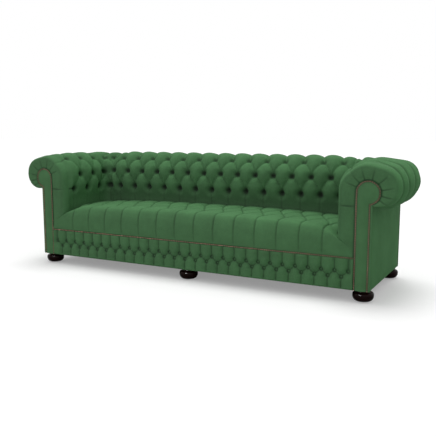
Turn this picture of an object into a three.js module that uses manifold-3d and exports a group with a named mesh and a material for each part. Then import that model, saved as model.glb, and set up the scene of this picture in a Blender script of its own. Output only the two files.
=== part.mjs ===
// Chesterfield sofa: a long deep-buttoned sofa on a timber frame, in millimetres.
// X runs along the seat, Y from the front to the back, Z up from the floor.
import * as THREE from 'three';
import { mergeVertices } from 'three/addons/utils/BufferGeometryUtils.js';
import Module from 'manifold-3d';

// Driving dimensions of the covered body
const BODY_HALF_WIDTH = 1172;
const BODY_DEPTH = 740;
const BODY_BASE_Z = 68.5;
const SKIN = 8;
const CLEARANCE = 0.3;
const CUT_OVERRUN = 20;

// Seat deck: rail, springs and their cover, with the pads on top
const RAIL_TOP_Z = 240;
const SPRING_WIRE = 4;
const SPRING_COVER_THICKNESS = 2.1;
const PAD_BASE_Z = RAIL_TOP_Z + SPRING_WIRE + SPRING_COVER_THICKNESS + 3 * CLEARANCE;

// Inner faces of arms and back, and the rolled section that both share
const ARM_THICKNESS = 197;
const BACK_THICKNESS = 267;
const ARM_FACE_X = BODY_HALF_WIDTH - ARM_THICKNESS;
const BACK_FACE_Y = BODY_DEPTH - BACK_THICKNESS;
const CORNER_RADIUS = 40;
const ROLL_FACE_TOP_Z = 607;
const ROLL_INNER_RADIUS = 171;
const ROLL_RADIUS_STEP = 45;
const ROLL_OUTER_RADIUS = ROLL_INNER_RADIUS - ROLL_RADIUS_STEP;
const ROLL_OUTER_SHIFT = 67;
const ROLL_OUTER_OFFSET = ROLL_INNER_RADIUS + ROLL_OUTER_SHIFT;
const ROLL_OUTER_Z = 636;
const ROLL_END_ANGLE = THREE.MathUtils.degToRad(-110);
const ROLL_CLOSE_OFFSET = 190;
const ROLL_CLOSE_Z = 518;
const ROLL_FRONT_RADIUS = 50;
const PAD_HUB_OFFSET = 150;
const PAD_HUB_Z = 545;

// Deep buttoning of arms and back
const BACK_PITCHES = 14;
const SEAM_INSET = 58;
const ARM_FIRST_BUTTON = 108;
const ARM_LAST_BUTTON_INSET = 49;
const ARM_PITCHES = 2;
const CORNER_BUTTON_RUN = 67;
const ARM_PLEAT_LEAN = 64;
const FIRST_ROW_DROP = 74;
const ROW_GAP = 116;
const DIMPLE_OFFSET = 16;
const PILLOW_CREST = 10;
const PILLOW_RISE = 22;
const ROLL_PLEAT_DEPTH = 13;
const PILLOW_REACH = 46;
const BUTTON_SINK = 9;
const BUTTON_REACH = 30;
const PLAIN_FRONT = 90;

// Scroll board and facing at the front of each arm
const SCROLL_INSET = 24;
const SCROLL_X = BODY_HALF_WIDTH - SCROLL_INSET;
const SCROLL_Z = 608;
const NAIL_RADIUS = 63;
const FACING_MARGIN = 6;
const OUTER_NAIL_INSET = 14;
const NAIL_BAND = 9;
const NAIL_HEIGHT = 3;
const BOARD_THICKNESS = 25;
const BOARD_INSET = 4;

// Buttoned seat
const SEAT_HEIGHT = 190;
const SEAT_TOP_Z = PAD_BASE_Z + SEAT_HEIGHT;
const SEAT_END_DROP = 27;
const SEAT_BUTTONS = 14;
const SEAT_END_BUTTON_INSET = 76;
const SEAT_PITCH = (2 * (ARM_FACE_X - SEAT_END_BUTTON_INSET)) / (SEAT_BUTTONS - 1);
const SEAT_FIRST_ROW_Y = 140;
const SEAT_LAST_ROW_INSET = 73;
const SEAT_ROW_GAP = (BACK_FACE_Y - SEAT_LAST_ROW_INSET - SEAT_FIRST_ROW_Y) / 2;
const SEAT_SIDE_GAP = 10.5;
const SEAT_PILLOW_RISE = 9;
const SEAT_PILLOW_REACH = 50;
const SEAT_EDGE_DROP_WIDTH = 125;
const SEAT_EDGE_DROP = 46;
const SEAT_LIP_DEPTH = 50;
const SEAT_LIP_INSET = 155;
const SEAT_LIP_HEIGHT = 175;
const SEAT_LIP_POWER = 1.7;

// Buttoned border below the seat
const BORDER_BUTTONS = 28;
const BORDER_END_INSET = 30;
const BORDER_THICKNESS = 33;
const BORDER_UPPER_ROW_Z = 168;
const BORDER_LOWER_ROW_Z = 134.6;
const BORDER_TOP_Z = PAD_BASE_Z - CLEARANCE;
const BORDER_PILLOW_RISE = 9;
const BORDER_PILLOW_REACH = 26;
const BORDER_BUTTON_SINK = 3;
const BORDER_BUTTON_REACH = 14;
const BORDER_FOLD_Y = 8;
const BORDER_HEM_Y = 2;
const SEAT_NAIL_Z = PAD_BASE_Z;

// Timber frame
const FRONT_RAIL_THICKNESS = 45;
const SIDE_RAIL_THICKNESS = 24;
const BACK_FRAME_DEPTH = 92;
const BACK_FRAME_Y = BODY_DEPTH - BACK_FRAME_DEPTH;
const BACK_RAIL_HEIGHT = 45;
const HESSIAN_THICKNESS = 2;
const CENTRE_RAIL_WIDTH = 70;
const CENTRE_RAIL_HEIGHT = 60;
const SPRING_RAIL_DEPTH = 45;
const SPRING_RAIL_Y = BACK_FRAME_Y - 3 * CLEARANCE - HESSIAN_THICKNESS - SPRING_RAIL_DEPTH;
const SPRING_RAIL_HEIGHT = 45;
const CORNER_BLOCK_LEG = 70;
const CORNER_BLOCK_HEIGHT = 45;
const ARM_FRAME_WIDTH = 84;
const ARM_FRAME_X = BODY_HALF_WIDTH - ARM_FRAME_WIDTH;
const TACK_RAIL_HEIGHT = 45;
const OUTSIDE_TOP_Z = 586;
const OUTSIDE_NOTCH_Z = 540;
const ROLL_RAIL_HEIGHT = 64;
const ARM_ROLL_RAIL_INSET = 20;
const ARM_ROLL_RAIL_WIDTH = 56;
const ARM_ROLL_RAIL_HEIGHT = 90;
const BACK_ROLL_RAIL_INSET = 32;
const BACK_TACK_RAIL_Z = 300;
const BACK_TACK_RAIL_DEPTH = 42;
const UPRIGHT_X = 380;
const UPRIGHT_WIDTH = 70;
const HESSIAN_TOP_Z = 640;

// Seat springs and sheets
const SPRING_COUNT = 15;
const SPRING_HALF_SWING = 22;
const SPRING_BENDS = 14;
const SPRING_END_INSET = 8;
const TIE_WIRES = 3;
const DUST_COVER_THICKNESS = 1.5;
const DUST_COVER_INSET = 12;

// Turned feet
const FOOT_RADIUS = 56;
const FOOT_INSET_FRONT = 58;
const FOOT_INSET_SIDE = 48;
const FOOT_BASE_Z = 3;
const FOOT_SIDES = 28;
const GLIDE_RADIUS = 16;
const STUD_RADIUS = 5;
const STUD_SIDES = 10;
const STUD_BASE_Z = 32;
const STUD_GRIP = 38;
const STUD_BORE_GAP = 1;

// Surface finishes
const CLOTH_COLOUR = 0x3f6b45;
const CLOTH_INNER_COLOUR = 0x4a7a50;
const TIMBER_COLOUR = 0xb98d5c;
const PLYWOOD_COLOUR = 0xcaa678;
const STEEL_COLOUR = 0x8d9094;
const HESSIAN_COLOUR = 0xa58d63;
const BLACK_CLOTH_COLOUR = 0x1c1c1e;
const NAIL_COLOUR = 0x8a6250;
const FOOT_COLOUR = 0x1d0d09;
const GLIDE_COLOUR = 0x2b2b2b;

const wasm = await Module();
wasm.setup();
const sofa = new THREE.Group();

function finish(colour, roughness, metalness = 0) {
  return new THREE.MeshStandardMaterial({ color: colour, roughness, metalness });
}

const cloth = finish(CLOTH_COLOUR, 0.85);
const buttonedCloth = finish(CLOTH_INNER_COLOUR, 0.85);
const timber = finish(TIMBER_COLOUR, 0.7);
const plywood = finish(PLYWOOD_COLOUR, 0.7);
const steel = finish(STEEL_COLOUR, 0.4, 0.9);
const hessian = finish(HESSIAN_COLOUR, 0.95);
const blackCloth = finish(BLACK_CLOTH_COLOUR, 0.95);
const nailMetal = finish(NAIL_COLOUR, 0.45, 0.8);
const footWood = finish(FOOT_COLOUR, 0.25);
const plastic = finish(GLIDE_COLOUR, 0.6);

function add(name, geometry, material) {
  const mesh = new THREE.Mesh(geometry, material);
  mesh.name = name;
  sofa.add(mesh);
  return mesh;
}

// Closed mesh to solid and back, for cuts and joins
function toSolid(geometry) {
  const bare = geometry.clone();
  bare.deleteAttribute('normal');
  bare.deleteAttribute('uv');
  const merged = mergeVertices(bare);
  return new wasm.Manifold(new wasm.Mesh({
    numProp: 3,
    vertProperties: new Float32Array(merged.attributes.position.array),
    triVerts: new Uint32Array(merged.index.array),
  }));
}

function toGeometry(solid) {
  const mesh = solid.getMesh();
  const geometry = new THREE.BufferGeometry();
  geometry.setAttribute('position', new THREE.BufferAttribute(mesh.vertProperties, 3));
  geometry.setIndex(new THREE.BufferAttribute(mesh.triVerts, 1));
  geometry.computeVertexNormals();
  return geometry;
}

function cut(geometry, ...tools) {
  let solid = toSolid(geometry);
  for (const tool of tools) {
    solid = solid.subtract(toSolid(tool));
  }
  return toGeometry(solid);
}

function join(geometries) {
  let solid = toSolid(geometries[0]);
  for (const other of geometries.slice(1)) {
    solid = solid.add(toSolid(other));
  }
  return toGeometry(solid);
}

// Box from its lowest to its highest corner
function block(x0, x1, y0, y1, z0, z1) {
  const geometry = new THREE.BoxGeometry(x1 - x0, y1 - y0, z1 - z0);
  return geometry.translate((x0 + x1) / 2, (y0 + y1) / 2, (z0 + z1) / 2);
}

// Outline drawn in X and Z, given a thickness from y0 towards the back
function frontPlate(shape, y0, thickness, curveSegments = 12) {
  const geometry = new THREE.ExtrudeGeometry(shape, { depth: thickness, bevelEnabled: false, curveSegments });
  return geometry.rotateX(-Math.PI / 2).translate(0, y0, 0);
}

// Mirror image across the middle of the sofa, with faces still pointing out
function mirrored(geometry) {
  const flipped = (geometry.index ? geometry.toNonIndexed() : geometry.clone()).scale(-1, 1, 1);
  const position = flipped.attributes.position;
  const corner = [new THREE.Vector3(), new THREE.Vector3()];
  for (let i = 0; i < position.count; i += 3) {
    corner[0].fromBufferAttribute(position, i);
    corner[1].fromBufferAttribute(position, i + 1);
    position.setXYZ(i, corner[1].x, corner[1].y, corner[1].z);
    position.setXYZ(i + 1, corner[0].x, corner[0].y, corner[0].z);
  }
  flipped.deleteAttribute('uv');
  flipped.computeVertexNormals();
  return flipped;
}

function addPair(name, geometry, material) {
  add(`${name}_right`, geometry, material);
  add(`${name}_left`, mirrored(geometry), material);
}

// Whether the four-sided patch a b c d lies deeper along a-c than along b-d
function dipsAlongFirst(a, b, c, d) {
  const first = new THREE.Vector3().subVectors(c, a);
  const second = new THREE.Vector3().subVectors(d, b);
  const outward = first.cross(second);
  const between = new THREE.Vector3().addVectors(a, c).sub(b).sub(d);
  return between.dot(outward) <= 0;
}

// Closed body through a row of rings with equal counts, with a fan to a hub at each end
function loft(rings, firstHub, lastHub) {
  const positions = [];
  const index = [];
  const count = rings[0].length;
  for (const ring of rings) {
    for (const point of ring) {
      positions.push(point.x, point.y, point.z);
    }
  }
  const first = rings.length * count;
  const last = first + 1;
  positions.push(firstHub.x, firstHub.y, firstHub.z, lastHub.x, lastHub.y, lastHub.z);
  for (let r = 0; r < rings.length - 1; r += 1) {
    for (let i = 0; i < count; i += 1) {
      const next = (i + 1) % count;
      const a = r * count + i;
      const b = r * count + next;
      if (dipsAlongFirst(rings[r][i], rings[r][next], rings[r + 1][next], rings[r + 1][i])) {
        index.push(a, b, b + count, a, b + count, a + count);
      } else {
        index.push(a, b, a + count, b, b + count, a + count);
      }
    }
  }
  for (let i = 0; i < count; i += 1) {
    const next = (i + 1) % count;
    const end = (rings.length - 1) * count;
    index.push(first, next, i);
    index.push(last, end + i, end + next);
  }
  const geometry = new THREE.BufferGeometry();
  geometry.setAttribute('position', new THREE.Float32BufferAttribute(positions, 3));
  geometry.setIndex(index);
  geometry.computeVertexNormals();
  return geometry;
}

// Rolled section: distance outwards from the inner face, height, and outward direction
const rollGap = Math.hypot(ROLL_OUTER_OFFSET - ROLL_INNER_RADIUS, ROLL_OUTER_Z - ROLL_FACE_TOP_Z);
const rollTilt = Math.atan2(ROLL_OUTER_Z - ROLL_FACE_TOP_Z, ROLL_OUTER_OFFSET - ROLL_INNER_RADIUS);
const tangentAngle = rollTilt + Math.acos((ROLL_INNER_RADIUS - ROLL_OUTER_RADIUS) / rollGap);
const faceLength = ROLL_FACE_TOP_Z - PAD_BASE_Z;
const innerArcLength = (Math.PI - tangentAngle) * ROLL_INNER_RADIUS;
const bridgeLength = Math.sqrt(rollGap ** 2 - (ROLL_INNER_RADIUS - ROLL_OUTER_RADIUS) ** 2);
const outerArcLength = (tangentAngle - ROLL_END_ANGLE) * ROLL_OUTER_RADIUS;
const bridgeStart = faceLength + innerArcLength;
const outerStart = bridgeStart + bridgeLength;
const sectionLength = outerStart + outerArcLength;

function arcPoint(centreOut, centreZ, radius, angle) {
  const cos = Math.cos(angle);
  const sin = Math.sin(angle);
  return { out: centreOut + radius * cos, z: centreZ + radius * sin, nOut: cos, nZ: sin };
}

function sectionPoint(v) {
  if (v <= faceLength) {
    return { out: 0, z: PAD_BASE_Z + v, nOut: -1, nZ: 0 };
  }
  if (v <= bridgeStart) {
    const angle = Math.PI - (v - faceLength) / ROLL_INNER_RADIUS;
    return arcPoint(ROLL_INNER_RADIUS, ROLL_FACE_TOP_Z, ROLL_INNER_RADIUS, angle);
  }
  if (v <= outerStart) {
    const start = arcPoint(ROLL_INNER_RADIUS, ROLL_FACE_TOP_Z, ROLL_INNER_RADIUS, tangentAngle);
    const run = v - bridgeStart;
    return { ...start, out: start.out + run * start.nZ, z: start.z - run * start.nOut };
  }
  const angle = tangentAngle - (v - outerStart) / ROLL_OUTER_RADIUS;
  return arcPoint(ROLL_OUTER_OFFSET, ROLL_OUTER_Z, ROLL_OUTER_RADIUS, angle);
}

// Path of the inner face in plan: along the right arm, round the corner and along the back
const armRun = BACK_FACE_Y - CORNER_RADIUS;
const cornerRun = (Math.PI / 2) * (CORNER_RADIUS + DIMPLE_OFFSET);
const seamX = ARM_FACE_X - SEAM_INSET;
const backPitch = (2 * seamX) / BACK_PITCHES;
const armPitch = (armRun - ARM_LAST_BUTTON_INSET - ARM_FIRST_BUTTON) / ARM_PITCHES;
const seamRun = armRun + cornerRun + (ARM_FACE_X - CORNER_RADIUS - seamX);

function pathPoint(u) {
  if (u <= armRun) {
    return { x: ARM_FACE_X, y: u, nx: 1, ny: 0 };
  }
  const turn = Math.min((u - armRun) / cornerRun, 1) * (Math.PI / 2);
  const nx = Math.cos(turn);
  const ny = Math.sin(turn);
  const x = ARM_FACE_X - CORNER_RADIUS + CORNER_RADIUS * nx;
  const y = armRun + CORNER_RADIUS * ny;
  return { x: x - Math.max(u - armRun - cornerRun, 0), y, nx, ny };
}

function surfacePoint(u, v, lift = 0) {
  const path = pathPoint(u);
  const section = sectionPoint(v);
  const out = section.out + lift * section.nOut;
  return new THREE.Vector3(path.x + path.nx * out, path.y + path.ny * out, section.z + lift * section.nZ);
}

// Rows of buttons up the section
const lowRow = ROLL_FACE_TOP_Z - FIRST_ROW_DROP - PAD_BASE_Z;
const middleRow = lowRow + ROW_GAP;
const topRow = middleRow + ROW_GAP;

// Places of the buttons along the path: low and top rows together, the middle row staggered
function outerColumns() {
  const columns = [];
  for (let i = 0; i <= ARM_PITCHES; i += 1) {
    columns.push(ARM_FIRST_BUTTON + i * armPitch);
  }
  columns.push(armRun + CORNER_BUTTON_RUN);
  for (let i = 0; i < BACK_PITCHES; i += 1) {
    columns.push(seamRun + (i + 0.5) * backPitch);
  }
  return columns;
}

function middleColumns() {
  const outer = outerColumns();
  const columns = [];
  for (let i = 0; i <= ARM_PITCHES; i += 1) {
    columns.push((outer[i] + outer[i + 1]) / 2);
  }
  for (let i = 0; i <= BACK_PITCHES; i += 1) {
    columns.push(seamRun + i * backPitch);
  }
  return columns;
}

// Folds of the right arm, the right corner and the whole back as chains of points
function foldChain(u0, v0, u1, v1, steps) {
  const chain = [];
  for (let i = 0; i <= steps; i += 1) {
    const t = i / steps;
    chain.push(surfacePoint(u0 + (u1 - u0) * t, v0 + (v1 - v0) * t));
  }
  return chain;
}

function buildFolds() {
  const outer = outerColumns();
  const middle = middleColumns();
  const folds = [];
  const buttons = [];
  for (const u of outer) {
    folds.push(foldChain(u, 0, u, lowRow, 2));
    const lean = u < seamRun ? ARM_PLEAT_LEAN : 0;
    folds.push(foldChain(u, topRow, u - lean, outerStart, 8));
    folds.push(foldChain(u - lean, outerStart, u - lean, sectionLength, 8));
    buttons.push(surfacePoint(u, lowRow), surfacePoint(u, topRow));
  }
  for (const u of middle) {
    buttons.push(surfacePoint(u, middleRow));
    for (const other of outer.filter((c) => Math.abs(c - u) < armPitch)) {
      folds.push(foldChain(u, middleRow, other, lowRow, 4));
      folds.push(foldChain(u, middleRow, other, topRow, 4));
    }
  }
  return { folds, buttons };
}

const { folds, buttons } = buildFolds();

function distanceToChain(point, chain, line, nearest) {
  let best = Infinity;
  for (let i = 0; i < chain.length - 1; i += 1) {
    line.set(chain[i], chain[i + 1]);
    line.closestPointToPoint(point, true, nearest);
    best = Math.min(best, nearest.distanceTo(point));
  }
  return best;
}

const scratchLine = new THREE.Line3();
const scratchPoint = new THREE.Vector3();

function nearestFold(point, chains) {
  return Math.min(...chains.map((chain) => distanceToChain(point, chain, scratchLine, scratchPoint)));
}

// Depth that buttons pull the cover in by
function buttonSink(point, places, depth, reach) {
  const nearest = Math.min(...places.map((place) => place.distanceTo(point)));
  return depth * Math.max(1 - nearest / reach, 0);
}

// Round-topped pillow from zero at a fold to one at the reach
function pillow(distance, reach) {
  const share = Math.min(distance / reach, 1);
  return Math.sqrt(1 - (1 - share) ** 2);
}

// Height of the buttoned cover above the smooth section
function coverLift(u, v) {
  const point = surfacePoint(u, v);
  const fall = 1 - pillow(nearestFold(point, folds), PILLOW_REACH);
  const sink = buttonSink(point, buttons, BUTTON_SINK, BUTTON_REACH);
  const plainShare = 1 - THREE.MathUtils.smoothstep(u, ROLL_FRONT_RADIUS, PLAIN_FRONT);
  const rollShare = THREE.MathUtils.smoothstep(v, topRow, bridgeStart);
  const tufted = PILLOW_CREST - PILLOW_RISE * fall;
  const rolled = -ROLL_PLEAT_DEPTH * fall;
  return THREE.MathUtils.lerp(tufted, rolled, rollShare) * (1 - plainShare) - sink;
}

// Stations up the section, from the seat over the roll to its underside
const overRollSteps = 6;
function sectionStations() {
  const stations = [0, lowRow / 2, lowRow - ROW_GAP / 2];
  for (let i = 0; i <= 4; i += 1) {
    stations.push(lowRow + (i * ROW_GAP) / 2);
  }
  stations.push((topRow + bridgeStart) / 2, bridgeStart);
  for (let i = 0; i <= overRollSteps; i += 1) {
    stations.push(outerStart + (i * outerArcLength) / overRollSteps);
  }
  return stations;
}

const stations = sectionStations();

function padRing(u) {
  const ring = stations.map((v) => surfacePoint(u, v, coverLift(u, v)));
  const path = pathPoint(u);
  for (const z of [ROLL_CLOSE_Z, PAD_BASE_Z]) {
    ring.push(new THREE.Vector3(path.x + path.nx * ROLL_CLOSE_OFFSET, path.y + path.ny * ROLL_CLOSE_OFFSET, z));
  }
  ring[0].z = PAD_BASE_Z;
  return ring;
}

function padHub(u) {
  const path = pathPoint(u);
  return new THREE.Vector3(path.x + path.nx * PAD_HUB_OFFSET, path.y + path.ny * PAD_HUB_OFFSET, PAD_HUB_Z);
}

// Scroll outline of board and facing: an upright with a round head, grown by a margin
const scrollInnerX = SCROLL_X - NAIL_RADIUS;
const outerNailX = BODY_HALF_WIDTH - OUTER_NAIL_INSET;

function scrollShape(grow, baseZ, outerX) {
  const radius = NAIL_RADIUS + grow;
  const innerX = SCROLL_X - radius;
  const notch = -Math.acos((outerX - SCROLL_X) / radius);
  const shape = new THREE.Shape();
  shape.moveTo(innerX, -baseZ);
  shape.lineTo(outerX, -baseZ);
  shape.lineTo(outerX, -(SCROLL_Z + radius * Math.sin(notch)));
  shape.absarc(SCROLL_X, -SCROLL_Z, radius, -notch, -Math.PI, true);
  shape.closePath();
  return shape;
}

// The pad's front face runs from the rolled edge in to the facing
const faceRings = [
  { reach: 0.5, y: 0 },
  { reach: 0.22, y: -0.08 },
  { reach: 0.06, y: 0.3 },
];

function facingPoint(point) {
  const radius = NAIL_RADIUS;
  const out = point.x;
  if (point.z < SCROLL_Z) {
    if (out < SCROLL_X - radius) {
      return new THREE.Vector3(SCROLL_X - radius, 0, point.z);
    }
    if (point.z <= PAD_BASE_Z + CLEARANCE) {
      return new THREE.Vector3(point.x, 0, point.z);
    }
  }
  const angle = Math.atan2(point.z - SCROLL_Z, out - SCROLL_X);
  return new THREE.Vector3(SCROLL_X + radius * Math.cos(angle), 0, SCROLL_Z + radius * Math.sin(angle));
}

function frontRings() {
  const rim = padRing(ROLL_FRONT_RADIUS);
  const rings = [{ reach: 1, y: 0 }, ...faceRings].map(({ reach, y }) => rim.map((point) => {
    const target = facingPoint(point);
    return new THREE.Vector3(
      point.x + (target.x - point.x) * reach,
      ROLL_FRONT_RADIUS * y,
      point.z + (target.z - point.z) * reach,
    );
  }));
  return [...rings, rim];
}

function midpoints(values, parts) {
  const all = [];
  for (let i = 0; i < values.length - 1; i += 1) {
    for (let k = 0; k < parts; k += 1) {
      all.push(values[i] + ((values[i + 1] - values[i]) * k) / parts);
    }
  }
  return [...all, values[values.length - 1]];
}

function armColumns() {
  const all = [...outerColumns(), ...middleColumns(), armRun + cornerRun].filter((u) => u < seamRun);
  all.push(PLAIN_FRONT);
  all.sort((a, b) => a - b);
  const straight = all.filter((u) => u < armRun);
  const turning = all.filter((u) => u > armRun);
  const bend = [armRun, ...turning, seamRun - CLEARANCE];
  return [...midpoints(straight, 2), ...midpoints(bend, 3)];
}

// Everything of the frame that the stuffing is shaped around
function frameHollows() {
  const top = OUTSIDE_TOP_Z + CLEARANCE;
  const low = PAD_BASE_Z - CUT_OVERRUN;
  const side = BODY_HALF_WIDTH + CLEARANCE;
  const rear = BODY_DEPTH + CLEARANCE;
  const railTop = OUTSIDE_TOP_Z + ROLL_RAIL_HEIGHT + CLEARANCE;
  const boardBack = SKIN + BOARD_THICKNESS + 2 * CLEARANCE;
  const backFront = BACK_FRAME_Y - HESSIAN_THICKNESS - 2 * CLEARANCE;
  const armRailX = ARM_FRAME_X + ARM_ROLL_RAIL_INSET;
  const backRailEnd = BODY_HALF_WIDTH - BACK_ROLL_RAIL_INSET;
  return {
    board: frontPlate(scrollShape(FACING_MARGIN + CLEARANCE, low, side), -CUT_OVERRUN, CUT_OVERRUN + boardBack),
    arm: block(ARM_FRAME_X - CLEARANCE, side, boardBack - CLEARANCE, rear, low, top),
    armRail: block(
      armRailX - CLEARANCE,
      armRailX + ARM_ROLL_RAIL_WIDTH + CLEARANCE,
      boardBack - CLEARANCE,
      BACK_FRAME_Y,
      low,
      railTop,
    ),
    back: block(-side, side, backFront, rear, low, top),
    backRail: block(
      -backRailEnd - CLEARANCE,
      backRailEnd + CLEARANCE,
      backFront,
      BODY_DEPTH - SKIN + CLEARANCE,
      low,
      railTop,
    ),
  };
}

// Flat line that the lower band of nails lies on
const nailSeatY = BORDER_HEM_Y / 2;
const nailBandBaseZ = SEAT_NAIL_Z - NAIL_BAND / 2;
const nailBandTopZ = SEAT_NAIL_Z + NAIL_BAND / 2;

// Top of the seat lip beside the arm's front edge
const facingInnerX = SCROLL_X - NAIL_RADIUS - FACING_MARGIN;
const seatEndX = ARM_FACE_X - SEAT_SIDE_GAP;
const seatBackY = BACK_FACE_Y - SEAT_SIDE_GAP;

const lipCurveX = ARM_FACE_X - SEAT_LIP_INSET;
function lipTop(x) {
  const share = Math.min(Math.max((x - lipCurveX) / (facingInnerX - lipCurveX), 0), 1);
  return PAD_BASE_Z + SEAT_LIP_HEIGHT * (1 - share ** SEAT_LIP_POWER) ** (1 / SEAT_LIP_POWER);
}

const lipSteps = 6;
const lipStartX = seatEndX - SEAT_PITCH / 8;
function lipShape(grow, startX) {
  const shape = new THREE.Shape();
  const low = PAD_BASE_Z - grow * CUT_OVERRUN;
  shape.moveTo(startX, -low);
  for (let i = 0; i <= lipSteps; i += 1) {
    const share = Math.sin((i / lipSteps) * (Math.PI / 2));
    const x = lipStartX + (facingInnerX - CLEARANCE - lipStartX) * share;
    shape.lineTo((i === 0 ? startX : x) + grow * share * CLEARANCE, -lipTop(x) - grow * 2 * CLEARANCE);
  }
  shape.lineTo(facingInnerX - CLEARANCE + grow * CUT_OVERRUN, -(PAD_BASE_Z + grow * 2 * CLEARANCE));
  shape.lineTo(facingInnerX - CLEARANCE + grow * CUT_OVERRUN, -low);
  shape.closePath();
  return shape;
}

function armPad() {
  const rings = [...frontRings(), ...armColumns().map(padRing)];
  const nose = new THREE.Vector3(SCROLL_X, rings[0][0].y, PAD_HUB_Z);
  const solid = loft(rings, nose, padHub(seamRun - CLEARANCE));
  const hollow = frameHollows();
  const lipDepth = SEAT_LIP_DEPTH + CLEARANCE;
  const lip = frontPlate(lipShape(1, lipStartX), -CUT_OVERRUN, CUT_OVERRUN + lipDepth);
  return cut(solid, hollow.board, hollow.arm, hollow.armRail, hollow.back, hollow.backRail, lip);
}

function backPad() {
  const columns = midpoints([...outerColumns(), ...middleColumns()].filter((u) => u > seamRun - 1)
    .sort((a, b) => a - b), 2);
  columns[0] += CLEARANCE;
  columns[columns.length - 1] -= CLEARANCE;
  const rings = columns.map(padRing);
  const hollow = frameHollows();
  const solid = loft(rings, padHub(columns[0]), padHub(columns[columns.length - 1]));
  return cut(solid, hollow.back, hollow.backRail);
}

// Seat: pleated front edge, shallow buttoned top
const seatButtons = [];
const seatFolds = [];
function seatButton(column, row) {
  const x = (column + 0.5 * (row % 2 === 0 ? 1 : 0)) * SEAT_PITCH;
  return new THREE.Vector3(x, SEAT_FIRST_ROW_Y + row * SEAT_ROW_GAP, 0);
}
for (let column = -SEAT_BUTTONS / 2; column < SEAT_BUTTONS / 2; column += 1) {
  const firstRow = seatButton(column, 0);
  const lastRow = seatButton(column, 2);
  seatFolds.push([new THREE.Vector3(firstRow.x, -SEAT_LIP_HEIGHT, 0), firstRow]);
  seatFolds.push([lastRow, new THREE.Vector3(lastRow.x, BACK_FACE_Y, 0)]);
  for (const side of [0, 1]) {
    const between = seatButton(column + side, 1);
    seatFolds.push([firstRow, between], [between, lastRow]);
    seatButtons.push(between);
  }
  seatButtons.push(firstRow, lastRow);
}

// Front-to-back profile: run along the cover, then height below the crown, as shares of the lip
const seatProfile = [
  { y: -0.14, drop: 0.76 },
  { y: -0.16, drop: 0.5 },
  { y: 0, drop: 0.26 },
  { y: 0.34, drop: 0.1 },
  { y: 0.9, drop: 0.02 },
];

function seatTopZ(x, y) {
  const out = Math.abs(x) / ARM_FACE_X;
  const crown = SEAT_TOP_Z - SEAT_END_DROP * out ** 3;
  const edge = Math.max(Math.abs(x) - ARM_FACE_X + SEAT_EDGE_DROP_WIDTH, 0) / SEAT_EDGE_DROP_WIDTH;
  const towardsFront = Math.max(1 - Math.max(y, 0) / (SEAT_FIRST_ROW_Y + SEAT_ROW_GAP), 0);
  return crown - SEAT_EDGE_DROP * edge ** 1.5 * towardsFront ** 2;
}

// Back edge of the seat, rounded into the corner between arm and back
const seatCornerRadius = CORNER_RADIUS - SEAT_SIDE_GAP;
function seatBackEdge(x) {
  const into = Math.max(Math.abs(x) - (ARM_FACE_X - CORNER_RADIUS), 0);
  return armRun + Math.sqrt(Math.max(seatCornerRadius ** 2 - into ** 2, 0));
}

function seatRing(x) {
  const backY = seatBackEdge(x);
  const top = seatTopZ(x, 0);
  const height = top - PAD_BASE_Z;
  const ring = seatProfile.map(({ y, drop }) => {
    const run = new THREE.Vector3(x, -height * drop, 0);
    const rise = SEAT_PILLOW_RISE * (1 - pillow(nearestFold(run, seatFolds), SEAT_PILLOW_REACH));
    const z = top - height * drop - (y > 0 ? rise : 0);
    return new THREE.Vector3(x, SEAT_LIP_DEPTH * y + (y > 0 ? 0 : rise), z);
  });
  ring.unshift(new THREE.Vector3(x, nailSeatY, nailBandTopZ + CLEARANCE));
  ring.unshift(new THREE.Vector3(x, nailSeatY, PAD_BASE_Z));
  const topRows = 6;
  for (let i = 0; i <= topRows; i += 1) {
    const startY = SEAT_FIRST_ROW_Y - SEAT_ROW_GAP / 4;
    const y = startY + ((backY - startY) * i) / topRows;
    const point = new THREE.Vector3(x, y, 0);
    const rise = SEAT_PILLOW_RISE * (pillow(nearestFold(point, seatFolds), SEAT_PILLOW_REACH) - 1);
    const sink = buttonSink(point, seatButtons, BUTTON_SINK, BUTTON_REACH);
    ring.push(new THREE.Vector3(x, y, seatTopZ(x, y) + rise - sink));
  }
  ring.push(new THREE.Vector3(x, backY, PAD_BASE_Z));
  return ring;
}

const seatCornerSteps = 5;
function seatColumns() {
  const columns = [];
  const cornerX = ARM_FACE_X - CORNER_RADIUS;
  const count = Math.floor(cornerX / (SEAT_PITCH / 4)) - 1;
  for (let i = -count; i <= count; i += 1) {
    columns.push((i * SEAT_PITCH) / 4);
  }
  for (let i = 0; i <= seatCornerSteps; i += 1) {
    const x = cornerX + seatCornerRadius * Math.sin((i / seatCornerSteps) * (Math.PI / 2));
    columns.push(x);
    columns.unshift(-x);
  }
  return columns;
}

function seatPad() {
  const columns = seatColumns();
  const rings = columns.map(seatRing).reverse();
  const hubY = seatBackY / 2;
  const hubZ = (PAD_BASE_Z + SEAT_TOP_Z) / 2;
  const body = loft(
    rings,
    new THREE.Vector3(seatEndX, hubY, hubZ),
    new THREE.Vector3(-seatEndX, hubY, hubZ),
  );
  const lip = frontPlate(lipShape(0, lipStartX), nailSeatY, SEAT_LIP_DEPTH - nailSeatY);
  return join([body, lip, mirrored(lip)]);
}

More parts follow.
